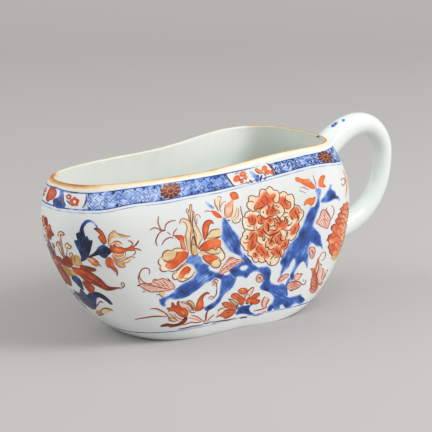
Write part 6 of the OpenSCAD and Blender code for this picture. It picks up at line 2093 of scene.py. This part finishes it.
# Iron red thinned to a pink wash, under the veins of the small leaves
pinkWash = makePaint("thinIronRed", [(0, "#f6e4da"), (0.5, "#dc9a84"), (1, "#a85a44")],
                     roughness=0.25, streak=0.2, mottle=0.1)
filmPieces = [
    ("dressed", "lipWash", dressing), ("ribbon", "borderWash", cobalt), ("blue", "cobaltStrokes", cobalt),
    ("deep", "deepCobaltStrokes", cobalt), ("white", "borderPanels", glaze), ("over", "borderRocks", cobalt),
    ("ground", "shadedGrounds", shadedRed), ("pink", "leafWashes", pinkWash),
    ("bloom", "shadedPetals", shadedRed), ("gold", "giltWashes", gilding),
    ("red", "ironRedStrokes", ironRed), ("lines", "brownOutlines", ironBrown),
    ("gilt", "giltLines", gilding),
]
for layer, name, finish in filmPieces:
    makeFilm(layer, name, finish)

# Floor and backdrop: one pale sweep of paper
floorSet = {"size": 5.0, "backAt": 1.6, "backHeight": 2.6, "bend": 0.7, "bendSegments": 16, "near": 0.01,
            "colour": "#b9b7b4", "gloss": 0.1}
bpy.ops.object.select_all(action="DESELECT")
floorMiddle = (0, floorSet["backAt"] - floorSet["size"] / 2, 0)
bpy.ops.mesh.primitive_plane_add(size=floorSet["size"], location=floorMiddle)
floor = bpy.context.object
floor.name = "paperSweep"
bpy.ops.object.transform_apply(location=True, rotation=True, scale=True)
bpy.ops.object.mode_set(mode="EDIT")
bpy.ops.mesh.select_all(action="DESELECT")
bpy.ops.object.mode_set(mode="OBJECT")
for edge in floor.data.edges:
    ends = [floor.data.vertices[v].co for v in edge.vertices]
    edge.select = all(p.y > floorSet["backAt"] - floorSet["near"] for p in ends)
bpy.ops.object.mode_set(mode="EDIT")
bpy.ops.mesh.select_mode(type="EDGE")
bpy.ops.mesh.extrude_region_move(TRANSFORM_OT_translate={"value": (0, 0, floorSet["backHeight"])})
bpy.ops.object.mode_set(mode="OBJECT")
for edge in floor.data.edges:
    ends = [floor.data.vertices[v].co for v in edge.vertices]
    atBack = all(abs(p.y - floorSet["backAt"]) < floorSet["near"] for p in ends)
    edge.select = atBack and all(p.z < floorSet["near"] for p in ends)
bpy.ops.object.mode_set(mode="EDIT")
bpy.ops.mesh.bevel(offset=floorSet["bend"], segments=floorSet["bendSegments"])
bpy.ops.object.mode_set(mode="OBJECT")
bpy.ops.object.shade_smooth()
floor.rotation_euler = (0, 0, math.radians(cameraSet["azimuth"]))  # the sweep faces the camera
bpy.ops.object.transform_apply(location=True, rotation=True, scale=True)
# Matt paper: pale grey with hardly any shine, so the pot's own gloss stands out
paper, paperTree, paperShader = newFinish("mattPaper", roughness=0.9, ior=1.45)
paperShader.inputs["Base Color"].default_value = linear(floorSet["colour"])
paperShader.inputs["Specular IOR Level"].default_value = floorSet["gloss"]
floor.data.materials.append(paper)

# Plain soft studio light: a large key from the upper right, a weak fill from the left, and an even world
lampAim = Vector((0, 0, 0.05))
worldSet = {"colour": "#f4f6f8", "strength": 0.86}
lampSet = {
    "key": {"azimuth": 38, "elevation": 37, "distance": 1.5, "size": 0.7, "watts": 13.8},
    "fill": {"azimuth": -120, "elevation": 30, "distance": 1.8, "size": 1.4, "watts": 9},
}
for lampName, lamp in lampSet.items():
    side, rise = math.radians(lamp["azimuth"]), math.radians(lamp["elevation"])
    away = Vector((math.sin(side) * math.cos(rise), -math.cos(side) * math.cos(rise), math.sin(rise)))
    bpy.ops.object.light_add(type="AREA", location=away * lamp["distance"] + lampAim)
    light = bpy.context.object
    light.name = lampName
    light.data.energy = lamp["watts"]
    light.data.size = lamp["size"]
    light.rotation_mode = "QUATERNION"
    light.rotation_quaternion = (-away).to_track_quat("-Z", "Y")
world = bpy.data.worlds.new("studio")
bpy.context.scene.world = world
world.use_nodes = True
world.node_tree.nodes["Background"].inputs["Color"].default_value = linear(worldSet["colour"])
world.node_tree.nodes["Background"].inputs["Strength"].default_value = worldSet["strength"]
bpy.context.scene.view_settings.view_transform = "Standard"
